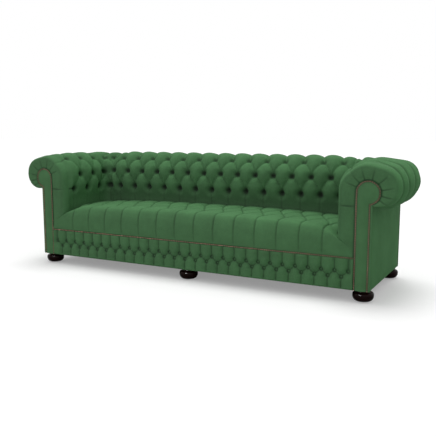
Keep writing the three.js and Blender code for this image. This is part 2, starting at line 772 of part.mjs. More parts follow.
// Border below the seat: two staggered rows of small buttons, with pleats up and down
const borderFolds = [];
const borderButtons = [];
const borderPitch = (2 * (facingInnerX - BORDER_END_INSET)) / (BORDER_BUTTONS - 1);
function borderPoint(x, z) {
  return new THREE.Vector3(x, 0, z);
}
for (let i = 0; i < BORDER_BUTTONS; i += 1) {
  const x = (i + 0.5 - BORDER_BUTTONS / 2) * borderPitch;
  const upper = borderPoint(x, BORDER_UPPER_ROW_Z);
  borderFolds.push([upper, borderPoint(x, BORDER_TOP_Z)]);
  borderButtons.push(upper);
  if (i > 0) {
    const lower = borderPoint(x - borderPitch / 2, BORDER_LOWER_ROW_Z);
    borderFolds.push([borderPoint(lower.x, BODY_BASE_Z), lower], [lower, upper]);
    borderFolds.push([lower, borderPoint(x - borderPitch, BORDER_UPPER_ROW_Z)]);
    borderButtons.push(lower);
  }
}

function borderRing(x) {
  const levels = [
    BODY_BASE_Z,
    (BODY_BASE_Z + BORDER_LOWER_ROW_Z) / 2,
    BORDER_LOWER_ROW_Z,
    BORDER_UPPER_ROW_Z,
    (BORDER_UPPER_ROW_Z + BORDER_TOP_Z) / 2,
    nailBandBaseZ - NAIL_BAND / 2,
  ];
  const ring = levels.map((z) => {
    const point = borderPoint(x, z);
    const rise = BORDER_PILLOW_RISE * pillow(nearestFold(point, borderFolds), BORDER_PILLOW_REACH);
    const sink = buttonSink(point, borderButtons, BORDER_BUTTON_SINK, BORDER_BUTTON_REACH);
    return new THREE.Vector3(x, BORDER_FOLD_Y - rise + sink, z);
  });
  ring[0].y = BORDER_HEM_Y;
  ring.push(new THREE.Vector3(x, nailSeatY, nailBandBaseZ - CLEARANCE));
  ring.push(new THREE.Vector3(x, nailSeatY, BORDER_TOP_Z));
  ring.push(new THREE.Vector3(x, BORDER_THICKNESS, BORDER_TOP_Z));
  ring.push(new THREE.Vector3(x, BORDER_THICKNESS, BODY_BASE_Z));
  return ring;
}

function frontBorder() {
  const end = facingInnerX - CLEARANCE;
  const columns = [-end];
  for (let i = 0; i < 2 * BORDER_BUTTONS - 1; i += 1) {
    columns.push(((i + 1) / 2 - BORDER_BUTTONS / 2) * borderPitch);
  }
  columns.push(end);
  const hubZ = (BODY_BASE_Z + BORDER_TOP_Z) / 2;
  const hubY = BORDER_THICKNESS / 2;
  return loft(
    columns.map(borderRing).reverse(),
    new THREE.Vector3(end, hubY, hubZ),
    new THREE.Vector3(-end, hubY, hubZ),
  );
}

function addPads() {
  addPair('arm_pad', armPad(), buttonedCloth);
  add('back_pad', backPad(), buttonedCloth);
  add('seat_pad', seatPad(), buttonedCloth);
  add('front_border_pad', frontBorder(), buttonedCloth);
}

// Fabric-covered facings and outside panels
function addCovers() {
  const facing = frontPlate(scrollShape(FACING_MARGIN, BODY_BASE_Z, BODY_HALF_WIDTH), 0, SKIN - CLEARANCE, 20);
  addPair('arm_facing', facing, cloth);
  const boardBack = SKIN + BOARD_THICKNESS;
  const rear = BODY_DEPTH - SKIN - CLEARANCE;
  const side = new THREE.Shape();
  side.moveTo(SKIN, BODY_BASE_Z);
  side.lineTo(rear, BODY_BASE_Z);
  side.lineTo(rear, OUTSIDE_TOP_Z);
  side.lineTo(boardBack + 2 * CLEARANCE, OUTSIDE_TOP_Z);
  side.lineTo(boardBack + 2 * CLEARANCE, OUTSIDE_NOTCH_Z);
  side.lineTo(SKIN, OUTSIDE_NOTCH_Z);
  side.closePath();
  const panel = new THREE.ExtrudeGeometry(side, { depth: SKIN, bevelEnabled: false });
  panel.rotateX(Math.PI / 2).rotateZ(Math.PI / 2).translate(BODY_HALF_WIDTH - SKIN, 0, 0);
  addPair('outside_arm_panel', panel, cloth);
  add('outside_back_panel', block(
    -BODY_HALF_WIDTH,
    BODY_HALF_WIDTH,
    BODY_DEPTH - SKIN,
    BODY_DEPTH,
    BODY_BASE_Z,
    OUTSIDE_TOP_Z,
  ), cloth);
}

// Close-nailed trim, as bands along the lines of nail heads
function nailBandShape() {
  const half = NAIL_BAND / 2;
  const base = BODY_BASE_Z + half;
  const shape = new THREE.Shape();
  const notchAt = (radius, x) => -Math.acos((x - SCROLL_X) / radius);
  const outside = NAIL_RADIUS + half;
  const inside = NAIL_RADIUS - half;
  const outerNotch = notchAt(outside, outerNailX + half);
  const innerNotch = notchAt(inside, outerNailX - half);
  shape.moveTo(scrollInnerX - half, -base);
  shape.absarc(SCROLL_X, -SCROLL_Z, outside, Math.PI, -outerNotch, false);
  shape.lineTo(outerNailX + half, -base);
  shape.lineTo(outerNailX - half, -base);
  shape.absarc(SCROLL_X, -SCROLL_Z, inside, -innerNotch, Math.PI, true);
  shape.lineTo(scrollInnerX + half, -base);
  shape.closePath();
  return shape;
}

function addNails() {
  const band = frontPlate(nailBandShape(), -CLEARANCE - NAIL_HEIGHT, NAIL_HEIGHT, 20);
  addPair('facing_nail_strip', band, nailMetal);
  const end = facingInnerX - CLEARANCE;
  const back = nailSeatY - CLEARANCE;
  add('seat_nail_strip', block(-end, end, back - NAIL_HEIGHT, back, nailBandBaseZ, nailBandTopZ), nailMetal);
}

// Timber frame
const footPlaces = [];
for (const [row, y] of [['front', FOOT_INSET_FRONT], ['rear', BODY_DEPTH - FOOT_INSET_FRONT]]) {
  footPlaces.push({ name: `${row}_left`, x: -(BODY_HALF_WIDTH - FOOT_INSET_SIDE), y });
  footPlaces.push({ name: `${row}_centre`, x: 0, y });
  footPlaces.push({ name: `${row}_right`, x: BODY_HALF_WIDTH - FOOT_INSET_SIDE, y });
}
const footTopZ = BODY_BASE_Z - CLEARANCE;
const studTopZ = BODY_BASE_Z + STUD_GRIP;

function studBore({ x, y }) {
  const radius = STUD_RADIUS + CLEARANCE;
  const low = BODY_BASE_Z - CUT_OVERRUN;
  const high = studTopZ + STUD_BORE_GAP;
  const bore = new THREE.CylinderGeometry(radius, radius, high - low, STUD_SIDES);
  return bore.rotateX(Math.PI / 2).translate(x, y, (low + high) / 2);
}

function bored(geometry, row) {
  return cut(geometry, ...footPlaces.filter(({ name }) => name.startsWith(row)).map(studBore));
}

function triangleBlock(x, y, legX, legY) {
  const shape = new THREE.Shape();
  shape.moveTo(x, y);
  shape.lineTo(x - legX, y);
  shape.lineTo(x, y + legY);
  shape.closePath();
  const geometry = new THREE.ExtrudeGeometry(shape, { depth: CORNER_BLOCK_HEIGHT, bevelEnabled: false });
  return geometry.translate(0, 0, BODY_BASE_Z);
}

function addBaseFrame() {
  const sideInnerX = BODY_HALF_WIDTH - SKIN - CLEARANCE - SIDE_RAIL_THICKNESS;
  const railEnd = sideInnerX - CLEARANCE;
  const frontY = BORDER_THICKNESS + CLEARANCE;
  const frontBack = frontY + FRONT_RAIL_THICKNESS;
  const rear = BODY_DEPTH - SKIN - CLEARANCE;
  const backFront = BACK_FRAME_Y;
  const base = BODY_BASE_Z;
  add('base_front_rail', bored(block(-railEnd, railEnd, frontY, frontBack, base, RAIL_TOP_Z), 'front'), timber);
  const backEnd = BODY_HALF_WIDTH - SKIN - CLEARANCE;
  const backTop = base + BACK_RAIL_HEIGHT;
  add('base_back_rail', bored(block(-backEnd, backEnd, backFront, rear, base, backTop), 'rear'), timber);
  const sideRail = block(sideInnerX, backEnd, frontY, backFront - CLEARANCE, base, RAIL_TOP_Z);
  addPair('base_side_rail', sideRail, timber);
  const centreHalf = CENTRE_RAIL_WIDTH / 2;
  const centreFront = frontBack + CLEARANCE;
  add('base_centre_rail', block(
    -centreHalf,
    centreHalf,
    centreFront,
    backFront - CLEARANCE,
    base,
    base + CENTRE_RAIL_HEIGHT,
  ), timber);
  add('spring_rail', block(
    -railEnd,
    railEnd,
    SPRING_RAIL_Y,
    SPRING_RAIL_Y + SPRING_RAIL_DEPTH,
    RAIL_TOP_Z - SPRING_RAIL_HEIGHT,
    RAIL_TOP_Z,
  ), timber);
  const leg = CORNER_BLOCK_LEG;
  addPair('corner_block_front', triangleBlock(railEnd, frontBack + CLEARANCE, leg, leg), timber);
  const rearBlock = triangleBlock(railEnd, backFront - CLEARANCE, leg, -leg);
  addPair('corner_block_rear', rearBlock, timber);
}

function addUpperFrame() {
  const outerX = BODY_HALF_WIDTH - SKIN - CLEARANCE;
  const boardBack = SKIN + BOARD_THICKNESS;
  const board = frontPlate(scrollShape(FACING_MARGIN - BOARD_INSET, BODY_BASE_Z, outerX), SKIN, BOARD_THICKNESS, 16);
  addPair('arm_front_board', board, plywood);
  const armFront = boardBack + CLEARANCE;
  const armRear = BACK_FRAME_Y - CLEARANCE;
  const tackBase = RAIL_TOP_Z + CLEARANCE;
  const tackTop = tackBase + TACK_RAIL_HEIGHT;
  addPair('arm_tack_rail', block(ARM_FRAME_X, outerX, armFront, armRear, tackBase, tackTop), timber);
  const rollRailX = ARM_FRAME_X + ARM_ROLL_RAIL_INSET;
  const railTop = OUTSIDE_TOP_Z + ROLL_RAIL_HEIGHT;
  addPair('arm_roll_rail', block(
    rollRailX,
    rollRailX + ARM_ROLL_RAIL_WIDTH - CLEARANCE,
    armFront,
    armRear,
    railTop - ARM_ROLL_RAIL_HEIGHT,
    railTop,
  ), timber);
  const rear = BODY_DEPTH - SKIN - CLEARANCE;
  const postBase = BODY_BASE_Z + BACK_RAIL_HEIGHT + CLEARANCE;
  const postTop = OUTSIDE_TOP_Z - CLEARANCE;
  addPair('rear_post', block(ARM_FRAME_X, outerX, BACK_FRAME_Y, rear, postBase, postTop), timber);
  const rollHalf = BODY_HALF_WIDTH - BACK_ROLL_RAIL_INSET;
  add('back_roll_rail', block(-rollHalf, rollHalf, BACK_FRAME_Y, rear, OUTSIDE_TOP_Z, railTop), timber);
  const tackEnd = ARM_FRAME_X - CLEARANCE;
  const tackRear = BACK_FRAME_Y + BACK_TACK_RAIL_DEPTH;
  const backTackTop = BACK_TACK_RAIL_Z + TACK_RAIL_HEIGHT;
  add('back_tack_rail', block(-tackEnd, tackEnd, BACK_FRAME_Y, tackRear, BACK_TACK_RAIL_Z, backTackTop), timber);
  const half = UPRIGHT_WIDTH / 2;
  const upright = block(UPRIGHT_X - half, UPRIGHT_X + half, tackRear + CLEARANCE, rear, postBase, postTop);
  addPair('back_upright', upright, timber);
}

// Springs, stretched sheets and the cloth under the frame
function springShape(x, y0, y1) {
  const half = SPRING_WIRE / 2;
  const shape = new THREE.Shape();
  const left = [];
  const right = [];
  for (let i = 0; i <= SPRING_BENDS; i += 1) {
    const swing = i === 0 || i === SPRING_BENDS ? 0 : SPRING_HALF_SWING * (i % 2 === 0 ? 1 : -1);
    const y = y0 + ((y1 - y0) * i) / SPRING_BENDS;
    left.push([x + swing - half * 1.4, y]);
    right.unshift([x + swing + half * 1.4, y]);
  }
  [...left, ...right].forEach(([px, py], i) => (i === 0 ? shape.moveTo(px, py) : shape.lineTo(px, py)));
  shape.closePath();
  return shape;
}

function springUnit() {
  const base = RAIL_TOP_Z + CLEARANCE;
  const front = BORDER_THICKNESS + CLEARANCE + SPRING_END_INSET;
  const back = SPRING_RAIL_Y + SPRING_RAIL_DEPTH - SPRING_END_INSET;
  const pitch = (2 * ARM_FRAME_X) / (SPRING_COUNT + 1);
  const parts = [];
  const firstX = -(pitch * (SPRING_COUNT - 1)) / 2;
  for (let i = 0; i < SPRING_COUNT; i += 1) {
    const wire = new THREE.ExtrudeGeometry(springShape(firstX + i * pitch, front, back), {
      depth: SPRING_WIRE,
      bevelEnabled: false,
    });
    parts.push(wire.translate(0, 0, base));
  }
  const half = SPRING_WIRE / 2;
  const tieEnd = -firstX + SPRING_HALF_SWING;
  for (let k = 1; k <= TIE_WIRES; k += 1) {
    const y = front + ((back - front) * k) / (TIE_WIRES + 1);
    parts.push(block(-tieEnd, tieEnd, y - half, y + half, base, base + SPRING_WIRE));
  }
  return join(parts);
}

function addSheets() {
  add('seat_springs', springUnit(), steel);
  const sheetBase = RAIL_TOP_Z + SPRING_WIRE + 2 * CLEARANCE;
  const sheetEnd = ARM_FRAME_X - CLEARANCE;
  const front = BORDER_THICKNESS + CLEARANCE;
  const back = BACK_FRAME_Y - HESSIAN_THICKNESS - 2 * CLEARANCE;
  const sheetTop = PAD_BASE_Z - CLEARANCE;
  add('spring_cover', block(-sheetEnd, sheetEnd, front, back, sheetBase, sheetTop), hessian);
  const hessianBack = BACK_FRAME_Y - CLEARANCE;
  const tackEnd = ARM_FRAME_X - CLEARANCE;
  add('back_hessian', block(
    -tackEnd,
    tackEnd,
    hessianBack - HESSIAN_THICKNESS,
    hessianBack,
    BACK_TACK_RAIL_Z,
    HESSIAN_TOP_Z,
  ), hessian);
  const notch = FOOT_RADIUS + CLEARANCE;
  const coverEnd = BODY_HALF_WIDTH - DUST_COVER_INSET;
  const coverFront = BORDER_THICKNESS;
  const coverBack = BODY_DEPTH - DUST_COVER_INSET;
  const top = BODY_BASE_Z - CLEARANCE;
  const cover = block(-coverEnd, coverEnd, coverFront, coverBack, top - DUST_COVER_THICKNESS, top);
  const holes = footPlaces.map(({ x, y }) => {
    const reachX = x === 0 ? notch : FOOT_INSET_SIDE + notch;
    const out = Math.sign(x) * (reachX - notch);
    const outY = y < seatBackY ? -FOOT_INSET_FRONT : FOOT_INSET_FRONT;
    return block(
      Math.min(x - notch, x - notch + out),
      Math.max(x + notch, x + notch + out),
      Math.min(y - notch, y - notch + outY),
      Math.max(y + notch, y + notch + outY),
      top - CUT_OVERRUN,
      top + CUT_OVERRUN,
    );
  });
  add('dust_cover', cut(cover, ...holes), blackCloth);
}

// Turned bun foot with a stud up into the rail and a glide under it
const footProfileShares = [
  [0.7, 0],
  [0.86, 0.12],
  [0.97, 0.32],
  [1, 0.5],
  [0.98, 0.7],
  [0.92, 0.86],
  [0.86, 1],
];

function footGeometry() {
  const height = footTopZ - FOOT_BASE_Z;
  const boreRadius = STUD_RADIUS + CLEARANCE;
  const boreBase = STUD_BASE_Z - CLEARANCE;
  const profile = [new THREE.Vector2(0, FOOT_BASE_Z)];
  for (const [radius, rise] of footProfileShares) {
    profile.push(new THREE.Vector2(FOOT_RADIUS * radius, FOOT_BASE_Z + height * rise));
  }
  profile.push(new THREE.Vector2(boreRadius, footTopZ));
  profile.push(new THREE.Vector2(boreRadius, boreBase));
  profile.push(new THREE.Vector2(0, boreBase));
  return new THREE.LatheGeometry(profile, FOOT_SIDES).rotateX(Math.PI / 2);
}

function addFeet() {
  const foot = footGeometry();
  const studHeight = studTopZ - STUD_BASE_Z;
  const stud = new THREE.CylinderGeometry(STUD_RADIUS, STUD_RADIUS, studHeight, STUD_SIDES).rotateX(Math.PI / 2);
  const glideHeight = FOOT_BASE_Z - CLEARANCE;
  const glide = new THREE.CylinderGeometry(GLIDE_RADIUS, GLIDE_RADIUS, glideHeight, FOOT_SIDES).rotateX(Math.PI / 2);
  for (const { name, x, y } of footPlaces) {
    add(`foot_${name}`, foot, footWood).position.set(x, y, 0);
    add(`foot_stud_${name}`, stud, steel).position.set(x, y, (STUD_BASE_Z + studTopZ) / 2);
    add(`foot_glide_${name}`, glide, plastic).position.set(x, y, glideHeight / 2);
  }
}

addBaseFrame();
addUpperFrame();
addSheets();
addPads();
addCovers();
addNails();
addFeet();

// The origin is on the floor under the middle of the sofa's outline
const reach = new THREE.Box3().setFromObject(sofa);
const middle = reach.getCenter(new THREE.Vector3());
sofa.position.set(-middle.x, -middle.y, -reach.min.z);

export default sofa;
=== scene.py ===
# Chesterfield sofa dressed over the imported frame. Metres, X along the seat, Y to the back, Z up.
from math import acos, atan2, cos, exp, hypot, inf, pi, radians, sin, sqrt

import bpy
import numpy as np
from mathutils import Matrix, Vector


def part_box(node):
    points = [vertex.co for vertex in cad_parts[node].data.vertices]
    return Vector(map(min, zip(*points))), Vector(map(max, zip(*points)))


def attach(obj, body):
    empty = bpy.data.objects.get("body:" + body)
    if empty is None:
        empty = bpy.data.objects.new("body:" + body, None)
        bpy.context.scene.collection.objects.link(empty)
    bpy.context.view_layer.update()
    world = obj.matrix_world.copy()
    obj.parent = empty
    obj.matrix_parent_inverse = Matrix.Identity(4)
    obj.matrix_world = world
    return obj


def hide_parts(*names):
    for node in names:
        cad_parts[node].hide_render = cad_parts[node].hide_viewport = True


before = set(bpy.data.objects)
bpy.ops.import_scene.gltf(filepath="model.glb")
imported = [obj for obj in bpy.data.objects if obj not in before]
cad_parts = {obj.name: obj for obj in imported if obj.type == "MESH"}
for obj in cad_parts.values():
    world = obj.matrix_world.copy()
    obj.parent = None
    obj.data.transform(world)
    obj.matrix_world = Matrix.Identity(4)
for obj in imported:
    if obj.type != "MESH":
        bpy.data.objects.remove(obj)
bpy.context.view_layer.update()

# Places read from the frame
FACING_LOW, FACING_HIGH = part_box("arm_facing_right")
FRONT_Y = FACING_LOW[1]
BASE_Z = FACING_LOW[2]
SEAT_BASE_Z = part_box("seat_pad")[0][2]
BACK_PANEL_LOW, BACK_PANEL_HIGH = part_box("outside_back_panel")
HALF_WIDTH = BACK_PANEL_HIGH[0]
BODY_DEPTH = BACK_PANEL_HIGH[1] - FRONT_Y
OUTSIDE_TOP_Z = BACK_PANEL_HIGH[2]
SKIN = BACK_PANEL_HIGH[1] - BACK_PANEL_LOW[1]
CLEARANCE = 0.0003
TINY = 1e-6

# Rolled section shared by arms and back
ARM_THICKNESS = 0.197
BACK_THICKNESS = 0.267
ARM_FACE_X = HALF_WIDTH - ARM_THICKNESS
BACK_FACE_Y = BODY_DEPTH - BACK_THICKNESS
CORNER_RADIUS = 0.04
FACE_TOP_Z = 0.607
INNER_RADIUS = 0.171
OUTER_RADIUS = 0.126
CENTRE_GAP = 0.067
OUTER_OFFSET = INNER_RADIUS + CENTRE_GAP
OUTER_Z = 0.636
END_ANGLE = radians(-110)
EDGE_RADIUS = 0.05
COVER_THICKNESS = 0.075
CELLS = 16

# Buttons and folds of arms and back
BACK_PITCHES = 14
SEAM_INSET = 0.058
SEAM_BUTTON_MARGIN = 0.01
ARM_PITCHES = 2
FIRST_BUTTON = 0.115
LAST_BUTTON_INSET = 0.028
CORNER_BUTTON_RUN = 0.078
CORNER_TOP_RUNS = (0.043, 0.079)
TOP_FOLD_RUN = 0.075
FIRST_ROW_DROP = 0.074
ROW_GAP = 0.116
ARM_ROW_DROP = 0.016
DIMPLE_OFFSET = 0.016
FIRST_ARM_LEAN = 0.05
ARM_PLEAT_LEAN = 0.08
CREST_LEAN = 0.04
LEAN_LENGTH = 0.26
BACK_LEAN = 0.03
FOLD_TURN = 0.6
FOLD_STEPS = 10
ROLL_FOLD_STEPS = 30
LONG_PLEAT_STEPS = 6
PLEAT_STEPS = 2

# Pillows of arms and back. A spread is a reach, a power and a rounding
PILLOW_CREST = 0.015
PILLOW_RISE = 0.031
PILLOW_SPREAD = (0.057, 1.8, 0.58)
NEAREST_SHARE = 0.005
ARM_RELIEF = 0.5
FULL_RELIEF_START = 0.25
PLAIN_RECESS = 0.026
RECESS_SPAN = (-0.09, 0.035)
PLAIN_CREST = -0.002
PLAIN_END = 0.09
PLAIN_ROLL_LOSS = 0.6
FRONT_DROP = 0.010
FRONT_DROP_END = 0.14
ARM_BLEND = 0.05

# Roll of arms and back
ROLL_CREST = 0.003
ARM_ROLL_DROP = 0.007
CORNER_ROLL_DROP = 0.006
CORNER_SPREAD = 0.09
ROLL_SPREAD = (0.08, 1.8, 0.62)
ROLL_PLEAT_DEPTH = 0.017
ROLL_TUCK_DEPTH = 0.014
ROLL_TUCK_WIDTH = 0.024
BACK_TUCK_SHARE = 0.4
SHOULDER_RISE = 0.015
SHOULDER_RUN = 0.05
SHOULDER_WIDTH = 0.11
SHOULDER_START = (0.12, 0.36)
SHOULDER_END = 0.06

# Button holes, pleats and gathers of arms and back
PINCH_DEPTH = 0.034
PINCH_SPREAD = (0.048, 2.0)
ROLL_PINCH_SHARE = 0.45
PLEAT_DEPTH = 0.006
PLEAT_WIDTH = 0.010
LOW_PLEAT_SHARE = 0.6
CREASE_POWER = 1.6
GATHER_DEPTH = 0.0014
GATHER_RADIUS = 0.022
GATHER_WIDTH = 0.012
GATHER_COUNT = 11

# Painted shade on the cloth where light falls less, in holes, pleats, grooves and low places, from 0 to 1
HOLE_SHADE = 0.9
TOP_HOLE_LOSS = 0.3
HOLE_SINKS = (0.1, 0.6)
SMALL_HOLE_SINKS = (0.2, 0.6)
PLEAT_SHADE = 0.65
LOW_PLEAT_SHADE = 0.2
LOW_SHADE = 0.3
LOW_SHADE_SPAN = (-0.06, 0.05)
ARM_LOW_SHADE_LOSS = 0.8
CREASE_SHADE = 0.45
GROOVE_SHADE = 1.8
NAIL_GROOVE = 0.0065

# Scroll at the front of each arm
SCROLL_X = HALF_WIDTH - 0.024
SCROLL_Z = 0.608
NAIL_RADIUS = 0.063
FACING_MARGIN = 0.006
FACING_X = SCROLL_X - NAIL_RADIUS - FACING_MARGIN
OUTER_NAIL_X = HALF_WIDTH - 0.014
DOME_STEPS = 28
DOME_EDGE_SHARE = 0.045
DOME_EDGE_DEPTH = 0.004
DOME_BULGE = 0.006
DOME_BULGE_END = 0.85
DOME_TURN_START = 0.76
DOME_TURN_POWER = 2.2
FACE_SHADE = 0.08
RIM_SHADE = 0.1
RIM_SHARE = 0.8
RIM_SPREAD = 0.09
FACE_SHADE_END = 0.93
HOLLOW_FRONT_Y = 0.034
HOLLOW_FRONT_SLOPE = 0.02

# Pleats that fan out from the round head of the scroll, and the level one on its inner side
FAN_ANGLES = (156, 134, 107, 75, 42, 12, -12, -32, -74)
LONG_PLEAT_ANGLE = 134
LONG_PLEAT_SHARE = 0.5
FAN_REACH = 0.102
FAN_FADE = 0.4
FAN_DEPTH = 0.007
FAN_WIDTH = 0.0052
FAN_POWER = 1.4
FAN_SHADE = 0.7
LEVEL_PLEAT_SHARE = 0.75
LEVEL_PLEAT_SPAN = (-0.01, 0.05)

# Nails
NAIL_PITCH = 0.0131
NAIL_HEAD_RADIUS = 0.0023
NAIL_HEAD_HEIGHT = 0.0019
NAIL_STAND_OFF = 0.0008
NAIL_LINE_Y = 0.001
NAIL_SIDES = 12
NAIL_RINGS = 4
NAIL_ARC_STEPS = 60

# Facing, padded inside the line of nails
FACING_PUFF = 0.010
FACING_PUFF_WIDTH = 0.026
FACING_ROWS, FACING_HEAD_ROWS, FACING_COLUMNS = 50, 40, 25
FACING_TIP_GAP = 0.00001

# Seat
SEAT_TOP_Z = SEAT_BASE_Z + 0.19
SEAT_END_DROP = 0.027
SEAT_END_LIMIT = 1.2
SEAT_BUTTONS = 14
END_BUTTON_INSET = 0.076
SEAT_PITCH = 2 * (ARM_FACE_X - END_BUTTON_INSET) / (SEAT_BUTTONS - 1)
SEAT_ROW_Y = 0.14
SEAT_ROW_INSET = 0.073
SEAT_ROW_GAP = (BACK_FACE_Y - SEAT_ROW_INSET - SEAT_ROW_Y) / 2
SEAT_SIDE_GAP = 0.0105
SEAT_END_X = ARM_FACE_X - SEAT_SIDE_GAP
EDGE_DROP_WIDTH = 0.125
EDGE_DROP = 0.046
SEAT_FRONT_STEPS = 40
SEAT_TOP_STEPS = 5 * CELLS
SEAT_LEAST_DEPTH = 0.001
SEAT_CROWN_Y = 0.2
SEAT_END_BLEND = 0.1
SEAT_TOP_RISE = 0.008
SEAT_FRONT_RISE = 0.007
SEAT_TOP_START_Y = 0.03
SEAT_TOP_LEAST = 0.1
SEAT_REACH = 0.055
SEAT_PINCH = 0.014
SEAT_PINCH_REACH = 0.034
SEAT_HOLE_SHADE = 0.6
SEAT_CREASE_DEPTH = 0.005
SEAT_CREASE_WIDTH = 0.008
SEAT_LOW_CREASE = 0.45
SEAT_CREASE_SPAN = (0.04, 0.15)
SEAT_END_RELIEF = 0.15
SEAT_END_FADE = 0.03
SEAT_HEM = 0.02
SEAT_INNER_Y = 0.004
SEAT_FLOOR_GAP = 0.0005

# Lip of the seat in front of each arm
LIP_DEPTH = 0.05
LIP_INSET = 0.155
LIP_HEIGHT = 0.175
LIP_POWER = 1.7
LIP_STEPS = 14
LIP_PROFILE_SPAN = (-0.10, 0.03)
LIP_FRONT_Y = -0.006
LIP_SETBACK = 0.001
LIP_MARGIN = 0.002
LIP_LAP = 0.014
LIP_BLEND_HEIGHT = 0.03
LIP_BLEND_DEPTH = 0.02

# Border below the seat
BORDER_BUTTONS = 28
BORDER_END_INSET = 0.03
BORDER_THICKNESS = 0.033
UPPER_ROW_Z = 0.168
LOWER_ROW_Z = 0.1346
BORDER_FOLD_Y = 0.012
BORDER_RISE = 0.019
BORDER_SPREAD = (0.036, 1.3, 0.7)
BORDER_PINCH = 0.012
BORDER_PINCH_SPREAD = (0.025, 1.5)
BORDER_HOLE_SHADE = 0.85
BORDER_CREASE_WIDTH = 0.006
BORDER_HEM = 0.008
BORDER_HEM_SHARE = 0.6
BORDER_TOP_SPAN = (0.002, 0.014)
BORDER_CELLS = 14
BORDER_ROW_CELLS = (22, 12, 28)
BORDER_EDGE = 0.008

# Covered buttons: radius, height, how far each stands off its cover, and how much painted shade it takes
COVER_BUTTON = (0.010, 0.007, 0.001, 0.7)
SEAT_BUTTON = (0.010, 0.006, 0.001, 0.3)
BORDER_BUTTON = (0.0072, 0.0055, 0.005, 0.15)
SEAT_BUTTON_NORMAL = (0, 0.001, 1)
BUTTON_ASIDE = (0.0, 0.3, 1.0)
BUTTON_TURN = 0.62 * pi
BUTTON_RINGS = 7
BUTTON_SIDES = 20
LEAST_RADIUS = 0.0001

# Outside panels. Fullness is a crown, its reach and the dip at the edges
ARM_PANEL_TOP_Z = 0.54
ARM_PANEL_TUCK = 0.02
ARM_PANEL_INSET = 0.002
ARM_PANEL_FULLNESS = (0.0035, 0.03, 0.0015)
BACK_PANEL_INSET = 0.0015
BACK_PANEL_FULLNESS = (0.004, 0.04, 0.003)
PANEL_DIP_REACH = 0.004

# Feet: shares of the radius and of the height, from the floor up
FOOT_PROFILE = (
    (0.0, 0.0), (0.5, 0.0), (0.68, 0.03), (0.83, 0.11), (0.93, 0.23), (0.985, 0.38), (1.0, 0.52),
    (0.985, 0.64), (0.94, 0.72), (0.86, 0.77), (0.7, 0.79), (0.68, 1.0), (0.0, 1.0),
)
FOOT_SPREAD = 1.06
FOOT_STEPS = 3
FOOT_SIDES = 48
FOOT_LEAST_SHARE = 0.01

X_AXIS, Y_AXIS, Z_AXIS = np.eye(3)


def smooth(x, low, high):
    t = np.clip((x - low) / (high - low), 0, 1)
    return t * t * (3 - 2 * t)


def placed(points):
    """From the build frame, whose front plane is y = 0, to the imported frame."""
    return np.asarray(points, dtype=float) + FRONT_Y * Y_AXIS


def grid_points(*axes):
    """Points of a grid from arrays or numbers that broadcast together."""
    return np.stack(np.broadcast_arrays(*axes), axis=-1)


def groove_shade(distance):
    """Painted shade in the groove in which a line of nails lies, dark between the nails."""
    return np.clip(GROOVE_SHADE * (1 - distance / NAIL_GROOVE), 0, 1)


# Rolled section
roll_gap = hypot(OUTER_OFFSET - INNER_RADIUS, OUTER_Z - FACE_TOP_Z)
roll_tilt = atan2(OUTER_Z - FACE_TOP_Z, OUTER_OFFSET - INNER_RADIUS)
tangent_angle = roll_tilt + acos((INNER_RADIUS - OUTER_RADIUS) / roll_gap)
face_length = FACE_TOP_Z - SEAT_BASE_Z
bridge_start = face_length + (pi - tangent_angle) * INNER_RADIUS
outer_start = bridge_start + sqrt(roll_gap**2 - (INNER_RADIUS - OUTER_RADIUS) ** 2)
section_length = outer_start + (tangent_angle - END_ANGLE) * OUTER_RADIUS
crest_v = face_length + pi / 2 * INNER_RADIUS


def section(v):
    """Distance out from the inner face, height, and the outward direction, along the section."""
    v = np.asarray(v, dtype=float)
    inner_angle = pi - (v - face_length) / INNER_RADIUS
    outer_angle = tangent_angle - (v - outer_start) / OUTER_RADIUS
    angle = np.where(v <= bridge_start, inner_angle, np.where(v <= outer_start, tangent_angle, outer_angle))
    angle = np.where(v <= face_length, pi, angle)
    n_out, n_z = np.cos(angle), np.sin(angle)
    on_outer = v > outer_start
    radius = np.where(on_outer, OUTER_RADIUS, INNER_RADIUS)
    run = np.where((v > bridge_start) & ~on_outer, v - bridge_start, 0)
    out = np.where(on_outer, OUTER_OFFSET, INNER_RADIUS) + radius * n_out + run * n_z
    z = np.where(on_outer, OUTER_Z, FACE_TOP_Z) + radius * n_z - run * n_out
    on_face = v <= face_length
    return (
        np.where(on_face, 0, out),
        np.where(on_face, SEAT_BASE_Z + v, z),
        np.where(on_face, -1, n_out),
        np.where(on_face, 0, n_z),
    )


# Path of the inner face in plan, from the front of the right arm round to the back
arm_run = BACK_FACE_Y - CORNER_RADIUS
corner_run = pi / 2 * (CORNER_RADIUS + DIMPLE_OFFSET)
seam_x = ARM_FACE_X - SEAM_INSET
back_pitch = 2 * seam_x / BACK_PITCHES
arm_pitch = (arm_run - LAST_BUTTON_INSET - FIRST_BUTTON) / ARM_PITCHES
last_arm_button = FIRST_BUTTON + ARM_PITCHES * arm_pitch
seam_run = arm_run + corner_run + (ARM_FACE_X - CORNER_RADIUS - seam_x)
back_end = seam_run + BACK_PITCHES * back_pitch
low_row = FACE_TOP_Z - FIRST_ROW_DROP - SEAT_BASE_Z
middle_row = low_row + ROW_GAP
top_row = middle_row + ROW_GAP


def path(u):
    u = np.asarray(u, dtype=float)
    turn = np.clip((u - arm_run) / corner_run, 0, 1) * pi / 2
    nx, ny = np.cos(turn), np.sin(turn)
    straight = u <= arm_run
    x = ARM_FACE_X - CORNER_RADIUS + CORNER_RADIUS * nx - np.maximum(u - arm_run - corner_run, 0)
    y = arm_run + CORNER_RADIUS * ny
    return np.where(straight, ARM_FACE_X, x), np.where(straight, u, y), nx, ny


def surface(u, v, lift=0.0):
    x, y, nx, ny = path(u)
    out, z, n_out, n_z = section(v)
    reach = out + lift * n_out
    return grid_points(x + nx * reach, y + ny * reach, z + lift * n_z)


